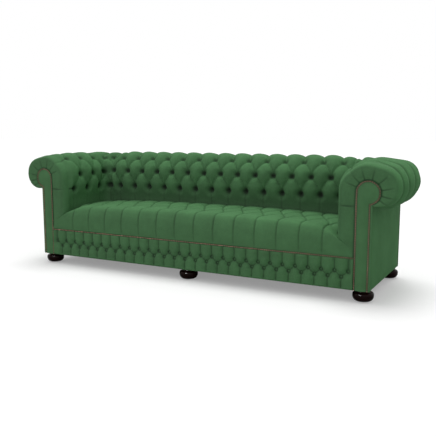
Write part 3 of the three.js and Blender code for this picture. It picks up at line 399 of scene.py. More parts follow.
def outer_columns():
    columns = [FIRST_BUTTON + i * arm_pitch for i in range(ARM_PITCHES + 1)]
    columns.append(arm_run + CORNER_BUTTON_RUN)
    return columns + [seam_run + (i + 0.5) * back_pitch for i in range(BACK_PITCHES)]


def top_columns():
    outer = outer_columns()
    corner = [arm_run + run for run in CORNER_TOP_RUNS]
    return outer[:ARM_PITCHES + 1] + corner + outer[ARM_PITCHES + 2:]


def middle_columns():
    outer = outer_columns()
    columns = [(outer[i] + outer[i + 1]) / 2 for i in range(ARM_PITCHES + 1)]
    return columns + [seam_run + i * back_pitch for i in range(BACK_PITCHES + 1)]


def middle_v(u):
    """The middle row of buttons sits lower on the arm than on the back."""
    return middle_row - ARM_ROW_DROP * (1 - float(smooth(u, last_arm_button, seam_run)))


def lean(u, v):
    """How far a pleat of the arm leans to the front. Up to the crest it leans to the back."""
    start = np.clip((u - EDGE_RADIUS) / (FIRST_BUTTON - EDGE_RADIUS), 0, 1)
    gained = np.clip((u - FIRST_BUTTON) / arm_pitch, 0, 1)
    full = FIRST_ARM_LEAN + (ARM_PLEAT_LEAN - FIRST_ARM_LEAN) * gained
    end = 1 - np.clip((u - last_arm_button) / (seam_run - last_arm_button), 0, 1)
    to_front = (full + CREST_LEAN) * smooth(v, crest_v, crest_v + LEAN_LENGTH)
    return (to_front - CREST_LEAN * smooth(v, top_row, crest_v)) * start * end


def leaned(u, v):
    return u - lean(u, v)


def chain(u0, v0, u1, v1, steps, turn=0.0):
    """Points of a fold. It leaves its first end sideways for a positive turn, upright for a negative one."""
    t = np.linspace(0, 1, steps + 1)
    across = 1 - (1 - t) ** (1 + turn) if turn >= 0 else t ** (1 - turn)
    u, v = u0 + (u1 - u0) * across, v0 + (v1 - v0) * t
    return surface(leaned(u, v), v)


def tuft_pattern():
    """Folds between the pillows and over the roll, places of the buttons, and the thin pleats."""
    outer, middle, top = outer_columns(), middle_columns(), top_columns()
    unfolded = (middle[ARM_PITCHES], top[ARM_PITCHES + 2])
    low_pleats = [chain(u, 0, u, low_row, PLEAT_STEPS) for u in outer]
    roll_folds = [chain(u, top_row, u, section_length, ROLL_FOLD_STEPS) for u in top]
    roll_folds.append(chain(seam_run, middle_row, seam_run, section_length, ROLL_FOLD_STEPS))
    buttons = [(u, low_row) for u in outer] + [(u, top_row) for u in top]
    folds = []
    for u in middle:
        v = middle_v(u)
        buttons.append((u, v))
        for other in (c for c in outer if abs(c - u) < arm_pitch):
            folds.append(chain(u, v, other, low_row, FOLD_STEPS, FOLD_TURN))
        for other in (c for c in top if abs(c - u) < TOP_FOLD_RUN and (u, c) != unfolded):
            folds.append(chain(u, v, other, top_row, FOLD_STEPS, -FOLD_TURN))
    level_pleat = chain(FIRST_BUTTON, low_row, EDGE_RADIUS + PLEAT_WIDTH, low_row, PLEAT_STEPS)
    edge_v = face_length + (pi - radians(LONG_PLEAT_ANGLE)) * INNER_RADIUS
    long_pleat = chain(FIRST_BUTTON, top_row, EDGE_RADIUS, edge_v, LONG_PLEAT_STEPS)
    return folds, roll_folds, buttons, [level_pleat, long_pleat], low_pleats


def chain_distance(points, line):
    best = np.linalg.norm(points - line[0], axis=1)
    for a, b in zip(line[:-1], line[1:]):
        ab = b - a
        t = np.clip((points - a) @ ab / (ab @ ab), 0, 1)
        best = np.minimum(best, np.linalg.norm(points - a - t[:, None] * ab, axis=1))
    return best


def spread(points, lines, reach, profile, join=np.maximum):
    """Profile of the distance to each line, as a share of the reach, joined over the lines."""
    flat = points.reshape(-1, 3)
    total = np.zeros(len(flat))
    for line in lines:
        close = np.all((flat > line.min(axis=0) - reach) & (flat < line.max(axis=0) + reach), axis=1)
        if close.any():
            t = np.clip(chain_distance(flat[close], line) / reach, 0, 1)
            total[close] = join(total[close], profile(t))
    return total.reshape(points.shape[:-1])


def pillow_share(points, folds, reach, power=2.0, rounding=0.5):
    """From 0 on a fold to 1 out of reach of every fold, round-topped between them."""
    def closeness(t):
        return np.sin(np.maximum(t, NEAREST_SHARE) * pi / 2) ** (-power * rounding) - 1

    return (1 + spread(points, folds, reach, closeness, np.add)) ** (-1 / power)


def crease(points, lines, width):
    """From 0 beside a thin pleat to 1 at its bottom."""
    return spread(points, lines, width, lambda t: (1 - t) ** CREASE_POWER)


def pinch(points, places, reach, power=2.2):
    """From 0 out of reach of every button to 1 at a button's middle."""
    return spread(points, places[:, None], reach, lambda t: (1 - t) ** power)


folds, roll_folds, buttons, pleats, low_pleats = tuft_pattern()
button_places = np.array([surface(leaned(u, v), v) for u, v in buttons])


def gathers(u, v):
    """Small ripples in the cloth that run out from each button."""
    total = np.zeros(np.broadcast(u, v).shape)
    for place_u, place_v in buttons:
        across, up = u - place_u, v - place_v
        ring_share = np.exp(-(((np.hypot(across, up) - GATHER_RADIUS) / GATHER_WIDTH) ** 2))
        total = total + ring_share * np.cos(GATHER_COUNT * np.arctan2(across, up))
    return total


def cover_zones(u, v):
    """How far each place belongs to the roll, to the arm, and to the plain front edge."""
    on_roll = smooth(v, top_row, bridge_start)
    on_arm = 1 - smooth(u, seam_run - ARM_BLEND, seam_run + ARM_BLEND)
    plain = 1 - smooth(u, EDGE_RADIUS, PLAIN_END)
    return on_roll, on_arm, plain * (1 - PLAIN_ROLL_LOSS * on_roll)


def shoulder(u, v):
    along = smooth(u, *SHOULDER_START) * (1 - smooth(u, arm_run + SHOULDER_END, seam_run))
    return SHOULDER_RISE * along * np.exp(-(((v - outer_start - SHOULDER_RUN) / SHOULDER_WIDTH) ** 2))


def pillow_height(u, v, share, roll_share, tuck):
    on_roll, on_arm, plain = cover_zones(u, v)
    below = 1 - smooth(v - low_row, *RECESS_SPAN)
    relief = ARM_RELIEF + (1 - ARM_RELIEF) * smooth(u, FULL_RELIEF_START, seam_run)
    tufted = PILLOW_CREST - PILLOW_RISE * (1 - share) * relief - PLAIN_RECESS * below
    corner = np.exp(-(((u - seam_run) / CORNER_SPREAD) ** 2))
    crest = ROLL_CREST - ARM_ROLL_DROP * on_arm - CORNER_ROLL_DROP * corner
    tuck_depth = ROLL_TUCK_DEPTH * (BACK_TUCK_SHARE + (1 - BACK_TUCK_SHARE) * on_arm)
    rolled = crest - ROLL_PLEAT_DEPTH * (1 - roll_share) - tuck_depth * tuck
    return (tufted + (rolled - tufted) * on_roll) * (1 - plain) + PLAIN_CREST * plain


def cover_shape(u, v):
    """Height of the buttoned cover above the smooth section, and the painted shade of each point, darkest in
    holes and pleats and low on the back.
    """
    points = surface(u, v)
    share = pillow_share(points, folds + roll_folds, *PILLOW_SPREAD)
    roll_share = pillow_share(points, roll_folds, *ROLL_SPREAD)
    sink = pinch(points, button_places, *PINCH_SPREAD)
    thin = crease(points, pleats, PLEAT_WIDTH)
    low_thin = crease(points, low_pleats, PLEAT_WIDTH)
    tuck = crease(points, roll_folds, ROLL_TUCK_WIDTH)
    on_roll, on_arm, plain = cover_zones(u, v)
    at_top = smooth(v, top_row - ROW_GAP / 2, top_row)
    front = (1 - smooth(u, EDGE_RADIUS, FRONT_DROP_END)) * smooth(v, middle_row, top_row)
    lift = pillow_height(u, v, share, roll_share, tuck)
    lift = lift + shoulder(u, v) - FRONT_DROP * front
    lift = lift - PINCH_DEPTH * (1 - (1 - ROLL_PINCH_SHARE) * at_top) * sink
    lift = lift - PLEAT_DEPTH * np.maximum(thin, LOW_PLEAT_SHARE * low_thin)
    lift = lift + GATHER_DEPTH * gathers(u, v) * (1 - plain) * (1 - on_roll)
    # Painted shade: holes, pleats and the tucks over the arm's roll are darker, and so is the cloth below the
    # low row of buttons
    hole = smooth(sink, *HOLE_SINKS) * (HOLE_SHADE - TOP_HOLE_LOSS * at_top)
    crossing = tuck * on_roll * on_arm * (1 - plain)
    shade = np.maximum(PLEAT_SHADE * thin, LOW_PLEAT_SHADE * low_thin)
    shade = np.maximum(np.maximum(hole, crossing), shade)
    low = (1 - smooth(v - low_row, *LOW_SHADE_SPAN)) * (1 - ARM_LOW_SHADE_LOSS * on_arm)
    return lift, shade + (1 - shade) * LOW_SHADE * low


def steps_between(stops, counts):
    """Even steps between neighbouring stops, with every stop kept."""
    values = [stops[0]]
    for a, b, n in zip(stops[:-1], stops[1:], counts):
        values += [a + (b - a) * (k + 1) / n for k in range(n)]
    return np.array(values)


def cell_stops(stops, cell, least):
    counts = [max(least, round((b - a) / cell)) for a, b in zip(stops[:-1], stops[1:])]
    return steps_between(stops, counts)


row_stops = [0, low_row, middle_row, top_row, bridge_start, outer_start, section_length]
rows = cell_stops(row_stops, ROW_GAP / CELLS, 2)


# Meshes
def grid_faces(nu, nv, points=None, flip=False, start=0):
    """Triangles of a grid, each cell split along its deeper diagonal where points are given."""
    i, j = np.meshgrid(np.arange(nu - 1), np.arange(nv - 1), indexing="ij")
    a = (i * nv + j).ravel()
    b, c, d = a + nv, a + nv + 1, a + 1
    chosen = first = np.stack([np.stack([a, b, c], 1), np.stack([a, c, d], 1)], 1)
    if points is not None:
        second = np.stack([np.stack([a, b, d], 1), np.stack([b, c, d], 1)], 1)
        p = points.reshape(-1, 3)
        out = np.cross(p[c] - p[a], p[d] - p[b])
        between = p[a] + p[c] - p[b] - p[d]
        valley = np.einsum("ij,ij->i", between, out) <= 0
        chosen = np.where(valley[:, None, None], first, second)
    faces = chosen.reshape(-1, 3)
    return (faces[:, ::-1] if flip else faces) + start


def rim_faces(nu, nv, offset, flip=False):
    """Quads that join the border of a grid to the border of its copy offset places later."""
    right = [i * nv + nv - 1 for i in range(1, nu)]
    bottom = [(nu - 1) * nv + j for j in range(nv - 2, -1, -1)]
    left = [i * nv for i in range(nu - 2, 0, -1)]
    loop = list(range(nv)) + right + bottom + left
    quads = [(a, b, b + offset, a + offset) for a, b in zip(loop, loop[1:] + loop[:1])]
    return [quad[::-1] for quad in quads] if flip else quads


def shell(outer, inner, flip=False, shade=0.0):
    """Closed body between an outer grid and an inner grid of the same size."""
    outer, inner = placed(outer), placed(inner)
    nu, nv = outer.shape[:2]
    count = nu * nv
    vertices = np.concatenate([outer.reshape(-1, 3), inner.reshape(-1, 3)])
    faces = [tuple(f) for f in grid_faces(nu, nv, outer, flip)]
    faces += [tuple(f) for f in grid_faces(nu, nv, None, not flip, count)]
    faces += rim_faces(nu, nv, count, not flip)
    outside = np.broadcast_to(shade, (nu, nv)).ravel()
    return vertices, faces, np.concatenate([outside, np.zeros(count)])


def ring(centre, aside, up, radius, sides):
    angles = [2 * pi * s / sides for s in range(sides)]
    return [centre + (aside * cos(a) + up * sin(a)) * radius for a in angles]


def ring_faces(sides, rings, start=0):
    """Quads between rings that follow each other down from the top."""
    faces = []
    for k in range(rings - 1):
        upper, lower = start + k * sides, start + (k + 1) * sides
        for s in range(sides):
            n = (s + 1) % sides
            faces.append((upper + s, lower + s, lower + n, upper + n))
    return faces


def merged(parts, shade=0.0):
    vertices, faces, start = [], [], 0
    for points, cells in parts:
        vertices.append(np.asarray(points))
        faces += [tuple(int(k) + start for k in f) for f in cells]
        start += len(points)
    return np.concatenate(vertices), faces, np.full(start, shade)


def mirrored(vertices, faces):
    return np.array(vertices) * np.array([-1.0, 1.0, 1.0]), [tuple(f)[::-1] for f in faces]


def make_object(name, vertices, faces, shade=None, material=None, smooth_faces=True):
    mesh = bpy.data.meshes.new(name)
    mesh.from_pydata([tuple(p) for p in vertices], [], [tuple(int(k) for k in f) for f in faces])
    mesh.validate()
    mesh.polygons.foreach_set("use_smooth", [smooth_faces] * len(mesh.polygons))
    mesh.materials.append(material)
    # Painted shade: the shade array is kept on the points, and the cloth's material darkens its colour by it
    if shade is not None and len(shade) == len(mesh.vertices):
        attribute = mesh.attributes.new("painted_shade", "FLOAT", "POINT")
        attribute.data.foreach_set("value", np.asarray(shade, dtype=np.float32))
    mesh.update()
    piece = bpy.data.objects.new(name, mesh)
    bpy.context.scene.collection.objects.link(piece)
    return piece


# Front of the arm: from the rolled edge to the line of nails
def edge_target(points):
    """Place on the facing's outline that a point of the rolled edge runs to."""
    radius = NAIL_RADIUS + FACING_MARGIN + CLEARANCE
    x, z = points[..., 0], points[..., 2]
    angle = np.arctan2(z - SCROLL_Z, x - SCROLL_X)
    low_inner = (z < SCROLL_Z) & (x < SCROLL_X - radius)
    target_x = np.where(low_inner, SCROLL_X - radius, SCROLL_X + radius * np.cos(angle))
    target_z = np.where(low_inner, z, SCROLL_Z + radius * np.sin(angle))
    return grid_points(target_x, 0.0, target_z)


def scroll_pleats(points):
    """How deep each point of the scroll lies in the thin pleats of its front."""
    x, z = points[..., 0] - SCROLL_X, points[..., 2] - SCROLL_Z
    radius, angle = np.hypot(x, z), np.arctan2(z, x)
    fade_start = NAIL_RADIUS + FAN_FADE * FAN_REACH
    fade = 1 - smooth(radius, fade_start, NAIL_RADIUS + FAN_REACH)
    depth = np.zeros_like(radius)
    for degrees in FAN_ANGLES:
        off = np.abs((angle - radians(degrees) + pi) % (2 * pi) - pi)
        line = np.clip(1 - off * radius / FAN_WIDTH, 0, 1) ** FAN_POWER
        least = LONG_PLEAT_SHARE if degrees == LONG_PLEAT_ANGLE else 0
        depth = np.maximum(depth, line * np.maximum(fade, least))
    above = np.abs(points[..., 2] - (SEAT_BASE_Z + low_row))
    level = np.clip(1 - above / FAN_WIDTH, 0, 1) ** FAN_POWER
    along = smooth(points[..., 0] - ARM_FACE_X, *LEVEL_PLEAT_SPAN) * (x < -NAIL_RADIUS)
    return np.maximum(depth, LEVEL_PLEAT_SHARE * level * along)


# Painted shade on the flat face of the scroll, darkest at the start of its rounded rim
def face_shade(share):
    if share < RIM_SHARE:
        return FACE_SHADE + RIM_SHADE * exp(-(((share - RIM_SHARE) / RIM_SPREAD) ** 2))
    return (FACE_SHADE + RIM_SHADE) * max(0, (FACE_SHADE_END - share) / (FACE_SHADE_END - RIM_SHARE))


def front_dome(rim):
    """Columns of points from the facing's edge out to the rim of the roll, and their painted shade in the
    pleats, at the facing's edge and over the face.
    """
    target = edge_target(rim)
    columns, shades = [], []
    for k in range(DOME_STEPS):
        share = sin(k / DOME_STEPS * pi / 2)
        edge = exp(-((share / DOME_EDGE_SHARE) ** 2))
        bulge = DOME_BULGE * sin(pi * min(share / DOME_BULGE_END, 1.0))
        into = max(share - DOME_TURN_START, 0) / (1 - DOME_TURN_START)
        turned = EDGE_RADIUS * (1 - sqrt(max(1 - into**DOME_TURN_POWER, 0)))
        point = target + (rim - target) * share
        folded = scroll_pleats(point)
        point[..., 1] = turned - bulge + DOME_EDGE_DEPTH * edge + FAN_DEPTH * folded
        columns.append(point)
        shades.append(np.maximum(FAN_SHADE * folded, max(edge, face_shade(share))))
    return np.stack(columns), np.stack(shades)


def lip_top(x):
    """Height of the seat's lip, which falls in a curve towards the facing."""
    curve_x = ARM_FACE_X - LIP_INSET
    share = np.clip((np.abs(x) - curve_x) / (FACING_X - curve_x), 0, 1)
    return SEAT_BASE_Z + LIP_HEIGHT * (1 - share**LIP_POWER) ** (1 / LIP_POWER)


def behind_lip(points):
    """The arm's front stays behind the lip of the seat and runs level into it."""
    x, y, above = points[..., 0], points[..., 1], points[..., 2] - lip_top(points[..., 0])
    inside = (x < FACING_X + LIP_MARGIN) & (y < LIP_DEPTH + CLEARANCE)
    level = (1 - smooth(above, -LIP_LAP, LIP_BLEND_HEIGHT)) * (1 - smooth(y, 0.0, LIP_BLEND_DEPTH))
    fronted = np.where(inside, y + (LIP_FRONT_Y + LIP_SETBACK - y) * level, y)
    hidden = inside & (above < -LIP_LAP)
    moved = points.copy()
    moved[..., 1] = np.where(hidden, LIP_DEPTH + 2 * CLEARANCE, fronted)
    return moved


def arm_columns():
    corner = [arm_run + run for run in CORNER_TOP_RUNS]
    inner = [c for c in outer_columns() + middle_columns() + corner if c < seam_run]
    return cell_stops(sorted([EDGE_RADIUS, *inner, seam_run - CLEARANCE]), back_pitch / 2 / CELLS, 4)


def arm_pad():
    v = rows[None, :]
    u = leaned(arm_columns()[:, None], v)
    lift, shade = cover_shape(u, v)
    body = surface(u, v, lift)
    dome, dome_shade = front_dome(body[0])
    outer = behind_lip(np.concatenate([dome, body]))
    hollow = surface(u, v, -COVER_THICKNESS)
    target = edge_target(body[0])
    share = np.linspace(0, 1, DOME_STEPS)[:, None, None]
    hollow_dome = target + (hollow[0] - target) * share
    hollow_dome[..., 1] = HOLLOW_FRONT_Y + HOLLOW_FRONT_SLOPE * share[..., 0]
    inner = np.concatenate([hollow_dome, hollow])
    return shell(outer, inner, shade=np.concatenate([dome_shade, shade]))


def back_mirror(u):
    """The left half of the back has the shape of its right half."""
    return np.minimum(u, seam_run + back_end - u)


def back_lean(u, v):
    """How far a pleat of the back leans aside up to the crest."""
    inside = smooth(back_mirror(u), seam_run, seam_run + back_pitch / 2)
    return BACK_LEAN * inside * smooth(v, top_row, crest_v)


def back_pad():
    u = np.linspace(seam_run + CLEARANCE, back_end - CLEARANCE, 2 * BACK_PITCHES * CELLS + 1)[:, None]
    v = rows[None, :]
    lift, shade = cover_shape(back_mirror(u), v)
    aside = u + back_lean(u, v)
    return shell(surface(aside, v, lift), surface(aside, v, -COVER_THICKNESS), shade=shade)


# Covered buttons
def button_mesh(place, normal, radius, height):
    """A covered button: a low dome with a rolled edge, facing along the normal."""
    normal = np.array(normal) / np.linalg.norm(normal)
    aside = np.cross(normal, BUTTON_ASIDE)
    aside /= np.linalg.norm(aside)
    up = np.cross(normal, aside)
    vertices = []
    for turn in np.linspace(0, BUTTON_TURN, BUTTON_RINGS):
        width = max(radius * sin(turn), LEAST_RADIUS)
        vertices += ring(place + normal * height * cos(turn), aside, up, width, BUTTON_SIDES)
    faces = ring_faces(BUTTON_SIDES, BUTTON_RINGS)
    faces.append(tuple(range(BUTTON_SIDES))[::-1])
    faces.append(tuple(len(vertices) - BUTTON_SIDES + s for s in range(BUTTON_SIDES)))
    return np.array(vertices), faces


def normal_at(u, v):
    _, _, nx, ny = path(u)
    _, _, n_out, n_z = section(v)
    return np.array([nx * n_out, ny * n_out, n_z])


def cover_buttons(low_u, high_u):
    radius, height, stand_off, shade = COVER_BUTTON
    parts = []
    for u, v in buttons:
        if low_u <= u < high_u:
            lift = float(cover_shape(back_mirror(np.array([u])), np.array([v]))[0][0])
            place = placed(surface(u, v, lift + stand_off))
            parts.append(button_mesh(place, normal_at(u, v), radius, height))
    return merged(parts, shade)


# Seat: shares of the lip's depth and of the height below the top, up the front and over the edge
SEAT_FRONT_PROFILE = (
    (0.02, 1.0), (-0.10, 0.86), (-0.15, 0.7), (-0.16, 0.5), (-0.10, 0.36), (0.02, 0.25), (0.2, 0.14),
    (0.45, 0.06), (0.8, 0.02), (1.1, 0.0),
)
LIP_PROFILE = (
    (0.02, 1.0), (-0.08, 0.86), (-0.12, 0.7), (-0.12, 0.5), (-0.12, 0.3), (-0.12, 0.15), (-0.11, 0.05),
    (-0.04, 0.012), (0.3, 0.0), (1.1, 0.0),
)


def seat_button(column, row):
    return ((column + (0.5 if row % 2 == 0 else 0.0)) * SEAT_PITCH, SEAT_ROW_Y + row * SEAT_ROW_GAP)


def seat_pattern():
    lines, places = [], []
    for column in range(-SEAT_BUTTONS // 2, SEAT_BUTTONS // 2):
        first, last = seat_button(column, 0), seat_button(column, 2)
        lines.append([(first[0], -LIP_HEIGHT), first])
        lines.append([last, (last[0], BACK_FACE_Y)])
        for side in (0, 1):
            between = seat_button(column + side, 1)
            lines += [[first, between], [between, last]]
            places.append(between)
        places += [first, last]
    flat = [np.array([(x, y, 0.0) for x, y in line]) for line in lines]
    return flat, sorted(set(places))


seat_folds, seat_buttons = seat_pattern()


def seat_crown(x, y):
    out = np.abs(x) / ARM_FACE_X
    crown = SEAT_TOP_Z - SEAT_END_DROP * np.minimum(out, SEAT_END_LIMIT) ** 3
    edge = np.maximum(np.abs(x) - ARM_FACE_X + EDGE_DROP_WIDTH, 0) / EDGE_DROP_WIDTH
    front = np.maximum(1 - np.maximum(y, 0) / (SEAT_ROW_Y + SEAT_ROW_GAP), 0)
    return crown - EDGE_DROP * edge**1.5 * front**2


def seat_back_edge(x):
    radius = CORNER_RADIUS - SEAT_SIDE_GAP
    into = np.maximum(np.abs(x) - (ARM_FACE_X - CORNER_RADIUS), 0)
    return arm_run + np.sqrt(np.maximum(radius**2 - into**2, 0))


def profile_curve(profile, count):
    """Even points on a smooth curve through the front profile's shares."""
    knots = np.array(profile)
    out = []
    for value in np.linspace(0, len(knots) - 1, count):
        k = min(int(value), len(knots) - 2)
        f = value - k
        p0, p1 = knots[max(k - 1, 0)], knots[k]
        p2, p3 = knots[k + 1], knots[min(k + 2, len(knots) - 1)]
        cubic = (2 * p0 - 5 * p1 + 4 * p2 - p3) * f**2 + (3 * p1 - p0 - 3 * p2 + p3) * f**3
        out.append(0.5 * (2 * p1 + (p2 - p0) * f + cubic))
    return np.array(out)


def seat_columns():
    step = SEAT_PITCH / 2 / CELLS
    count = int(SEAT_END_X / step)
    middle = [i * step for i in range(-count, count + 1)]
    lip_width = FACING_X - CLEARANCE - SEAT_END_X
    lip = [SEAT_END_X + lip_width * k / LIP_STEPS for k in range(LIP_STEPS + 1)]
    return np.array([-x for x in lip[::-1]] + middle + lip)


def seat_column(x, in_lip, back_y, top_z, lip_mix, near_end):
    profile = seat_profile + (lip_profile - seat_profile) * lip_mix
    front_y, front_run = LIP_DEPTH * profile[:, 0], (SEAT_BASE_Z - top_z) * profile[:, 1]
    last_y = max(back_y, front_y[-1] + SEAT_LEAST_DEPTH)
    top_y = np.linspace(front_y[-1], last_y, SEAT_TOP_STEPS + 1)[1:]
    share = np.maximum(smooth(top_y, LIP_DEPTH, SEAT_CROWN_Y), 1 - near_end)
    rise = 0 * top_y if in_lip else (seat_crown(x, top_y) - top_z) * share
    y, z = np.concatenate([front_y, top_y]), top_z + np.concatenate([front_run, rise])
    return grid_points(x, y, z, np.concatenate([front_run, top_y]))


seat_profile = profile_curve(SEAT_FRONT_PROFILE, SEAT_FRONT_STEPS)
lip_profile = profile_curve(LIP_PROFILE, SEAT_FRONT_STEPS)


def seat_grid():
    """Grid of the seat before its tufting, with the run along the flat pattern as fourth value."""
    x = seat_columns()
    out = np.abs(x)
    in_lip = out >= SEAT_END_X - TINY
    back_y = np.where(in_lip, LIP_DEPTH, seat_back_edge(x))
    near_end = smooth(out, SEAT_END_X - SEAT_END_BLEND, SEAT_END_X)
    crown = seat_crown(x, 0)
    top_z = crown + (np.minimum(lip_top(x), crown) - crown) * near_end
    lip_mix = smooth(out - ARM_FACE_X, *LIP_PROFILE_SPAN)
    return np.stack([seat_column(*values) for values in zip(x, in_lip, back_y, top_z, lip_mix, near_end)])


def seat_cover():
    grid = seat_grid()
    flat = grid_points(grid[..., 0], grid[..., 3], 0.0)
    share = pillow_share(flat, seat_folds, SEAT_REACH)
    places = np.array([(x, y, 0.0) for x, y in seat_buttons])
    sink = pinch(flat, places, SEAT_PINCH_REACH)
    height = grid[..., 2] - SEAT_BASE_Z
    crease_share = SEAT_LOW_CREASE + (1 - SEAT_LOW_CREASE) * smooth(height, *SEAT_CREASE_SPAN)
    thin = crease(flat, seat_folds, SEAT_CREASE_WIDTH) * crease_share
    on_top = smooth(grid[..., 1], SEAT_TOP_START_Y, SEAT_ROW_Y)
    rise = SEAT_FRONT_RISE + (SEAT_TOP_RISE - SEAT_FRONT_RISE) * on_top
    off_end = smooth(ARM_FACE_X - np.abs(grid[..., 0]), 0.0, SEAT_END_FADE)
    relief = (SEAT_END_RELIEF + (1 - SEAT_END_RELIEF) * off_end) * smooth(height, 0.0, SEAT_HEM)
    drop = (rise * (1 - share) + SEAT_PINCH * sink + SEAT_CREASE_DEPTH * thin) * relief
    d_u, d_v = np.gradient(grid[..., :3], axis=(0, 1))
    normal = np.cross(d_u, d_v)
    normal /= np.maximum(np.linalg.norm(normal, axis=-1, keepdims=True), 1e-9)
    # Painted shade: button holes, creases and the groove under the nails are darker
    hole = SEAT_HOLE_SHADE * smooth(sink, *SMALL_HOLE_SINKS)
    shade = np.maximum(np.maximum(CREASE_SHADE * thin * off_end, hole), groove_shade(height))
    return grid[..., :3] - normal * drop[..., None], shade


def seat_pad(outer, shade):
    inner = outer.copy()
    inner[..., 1] = np.maximum(inner[..., 1], SEAT_INNER_Y)
    inner[..., 2] = SEAT_BASE_Z + SEAT_FLOOR_GAP
    return shell(outer, inner, shade=shade)


def seat_button_meshes(grid):
    radius, height, stand_off, shade = SEAT_BUTTON
    flat = grid.reshape(-1, 3)
    top = flat[flat[:, 2] > SEAT_BASE_Z + SEAT_TOP_LEAST]
    parts = []
    for x, y in seat_buttons:
        z = top[np.argmin((top[:, 0] - x) ** 2 + (top[:, 1] - y) ** 2), 2]
        parts.append(button_mesh(placed((x, y, z + stand_off)), SEAT_BUTTON_NORMAL, radius, height))
    return merged(parts, shade)


# Border
border_pitch = 2 * (FACING_X - BORDER_END_INSET) / (BORDER_BUTTONS - 1)


def border_pattern():
    lines, places = [], []
    for i in range(BORDER_BUTTONS):
        x = (i + 0.5 - BORDER_BUTTONS / 2) * border_pitch
        lines.append([(x, UPPER_ROW_Z), (x, SEAT_BASE_Z)])
        places.append((x, UPPER_ROW_Z))
        if i > 0:
            low = (x - border_pitch / 2, LOWER_ROW_Z)
            lines.append([(low[0], BASE_Z), low])
            lines.append([low, (x, UPPER_ROW_Z)])
            lines.append([low, (x - border_pitch, UPPER_ROW_Z)])
            places.append(low)
    return [np.array([(x, 0.0, z) for x, z in line]) for line in lines], places


border_folds, border_buttons = border_pattern()


def border_shape(x, z):
    """Distance back from the front plane, and the painted shade of each point in folds, holes and the groove
    under the nails.
    """
    points = grid_points(x, 0.0, z)
    share = pillow_share(points, border_folds, *BORDER_SPREAD)
    places = np.array([(px, 0.0, pz) for px, pz in border_buttons])
    sink = pinch(points, places, *BORDER_PINCH_SPREAD)
    thin = crease(points, border_folds, BORDER_CREASE_WIDTH)
    hem = smooth(z - BASE_Z, 0, BORDER_HEM)
    top = smooth(SEAT_BASE_Z - z, *BORDER_TOP_SPAN)
    y = BORDER_FOLD_Y - BORDER_RISE * share + BORDER_PINCH * sink
    y = y * hem + (BORDER_FOLD_Y - BORDER_HEM_SHARE * BORDER_RISE) * (1 - hem)
    hole = BORDER_HOLE_SHADE * smooth(sink, *SMALL_HOLE_SINKS)
    shade = np.maximum(np.maximum(CREASE_SHADE * thin * top, hole), groove_shade(SEAT_BASE_Z - z))
    return NAIL_LINE_Y + (y - NAIL_LINE_Y) * top, shade


def border_pad():
    end = FACING_X - CLEARANCE
    last = (BORDER_BUTTONS - 1) * border_pitch / 2
    x = np.linspace(-last, last, 2 * (BORDER_BUTTONS - 1) * BORDER_CELLS + 1)
    x = np.array([-end, -end + BORDER_EDGE, *x, end - BORDER_EDGE, end])[:, None]
    levels = [BASE_Z, LOWER_ROW_Z, UPPER_ROW_Z, SEAT_BASE_Z - CLEARANCE]
    z = steps_between(levels, BORDER_ROW_CELLS)[None, :]
    y, shade = border_shape(x, z)
    outer, inner = grid_points(x, y, z), grid_points(x, BORDER_THICKNESS, z)
    return shell(outer, inner, shade=shade)


def border_button_meshes():
    radius, height, stand_off, shade = BORDER_BUTTON
    parts = []
    for x, z in border_buttons:
        y = float(border_shape(np.array([x]), np.array([z]))[0][0])
        parts.append(button_mesh(placed((x, y - stand_off, z)), -Y_AXIS, radius, height))
    return merged(parts, shade)


# Nails
def nail(x, y, z):
    place = placed((x, y - NAIL_STAND_OFF, z))
    vertices = [place - Y_AXIS * NAIL_HEAD_HEIGHT]
    for k in range(1, NAIL_RINGS + 1):
        a = k / NAIL_RINGS * pi / 2
        centre = place - Y_AXIS * NAIL_HEAD_HEIGHT * cos(a)
        vertices += ring(centre, X_AXIS, Z_AXIS, NAIL_HEAD_RADIUS * sin(a), NAIL_SIDES)
    faces = [(0, 1 + s, 1 + (s + 1) % NAIL_SIDES) for s in range(NAIL_SIDES)]
    faces += ring_faces(NAIL_SIDES, NAIL_RINGS, 1)
    faces.append(tuple(len(vertices) - 1 - s for s in range(NAIL_SIDES)))
    return np.array(vertices), faces


def facing_nail_path():
    notch = -acos((OUTER_NAIL_X - SCROLL_X) / NAIL_RADIUS)
    base = BASE_Z + NAIL_HEAD_RADIUS
    points = [(SCROLL_X - NAIL_RADIUS, base)]
    for a in np.linspace(pi, notch, NAIL_ARC_STEPS + 1):
        points.append((SCROLL_X + NAIL_RADIUS * cos(a), SCROLL_Z + NAIL_RADIUS * sin(a)))
    return np.array([*points, (OUTER_NAIL_X, base)])


def spaced(points, pitch):
    run = np.concatenate([[0], np.cumsum(np.linalg.norm(np.diff(points, axis=0), axis=1))])
    s = np.linspace(0, run[-1], max(2, round(run[-1] / pitch)) + 1)
    return np.stack([np.interp(s, run, points[:, k]) for k in range(points.shape[1])], axis=1)


def facing_nails(side):
    return merged([nail(side * x, 0.0, z) for x, z in spaced(facing_nail_path(), NAIL_PITCH)])


def seat_nails():
    end = FACING_X - NAIL_HEAD_RADIUS
    places = spaced(np.array([[-end], [end]]), NAIL_PITCH)[:, 0]
    return merged([nail(x, NAIL_LINE_Y, SEAT_BASE_Z) for x in places])


# Facing: an upright panel with a round head, padded inside the line of nails
def facing_bounds(z):
    radius = NAIL_RADIUS + FACING_MARGIN
    rise = np.clip(z - SCROLL_Z, -radius, radius)
    half = np.sqrt(np.maximum(radius**2 - rise**2, 0))
    left = np.where(z < SCROLL_Z, SCROLL_X - radius, SCROLL_X - half)
    notch_z = SCROLL_Z - sqrt(radius**2 - (HALF_WIDTH - SCROLL_X) ** 2)
    right = np.where(z < notch_z, HALF_WIDTH, SCROLL_X + half)
    return left, right


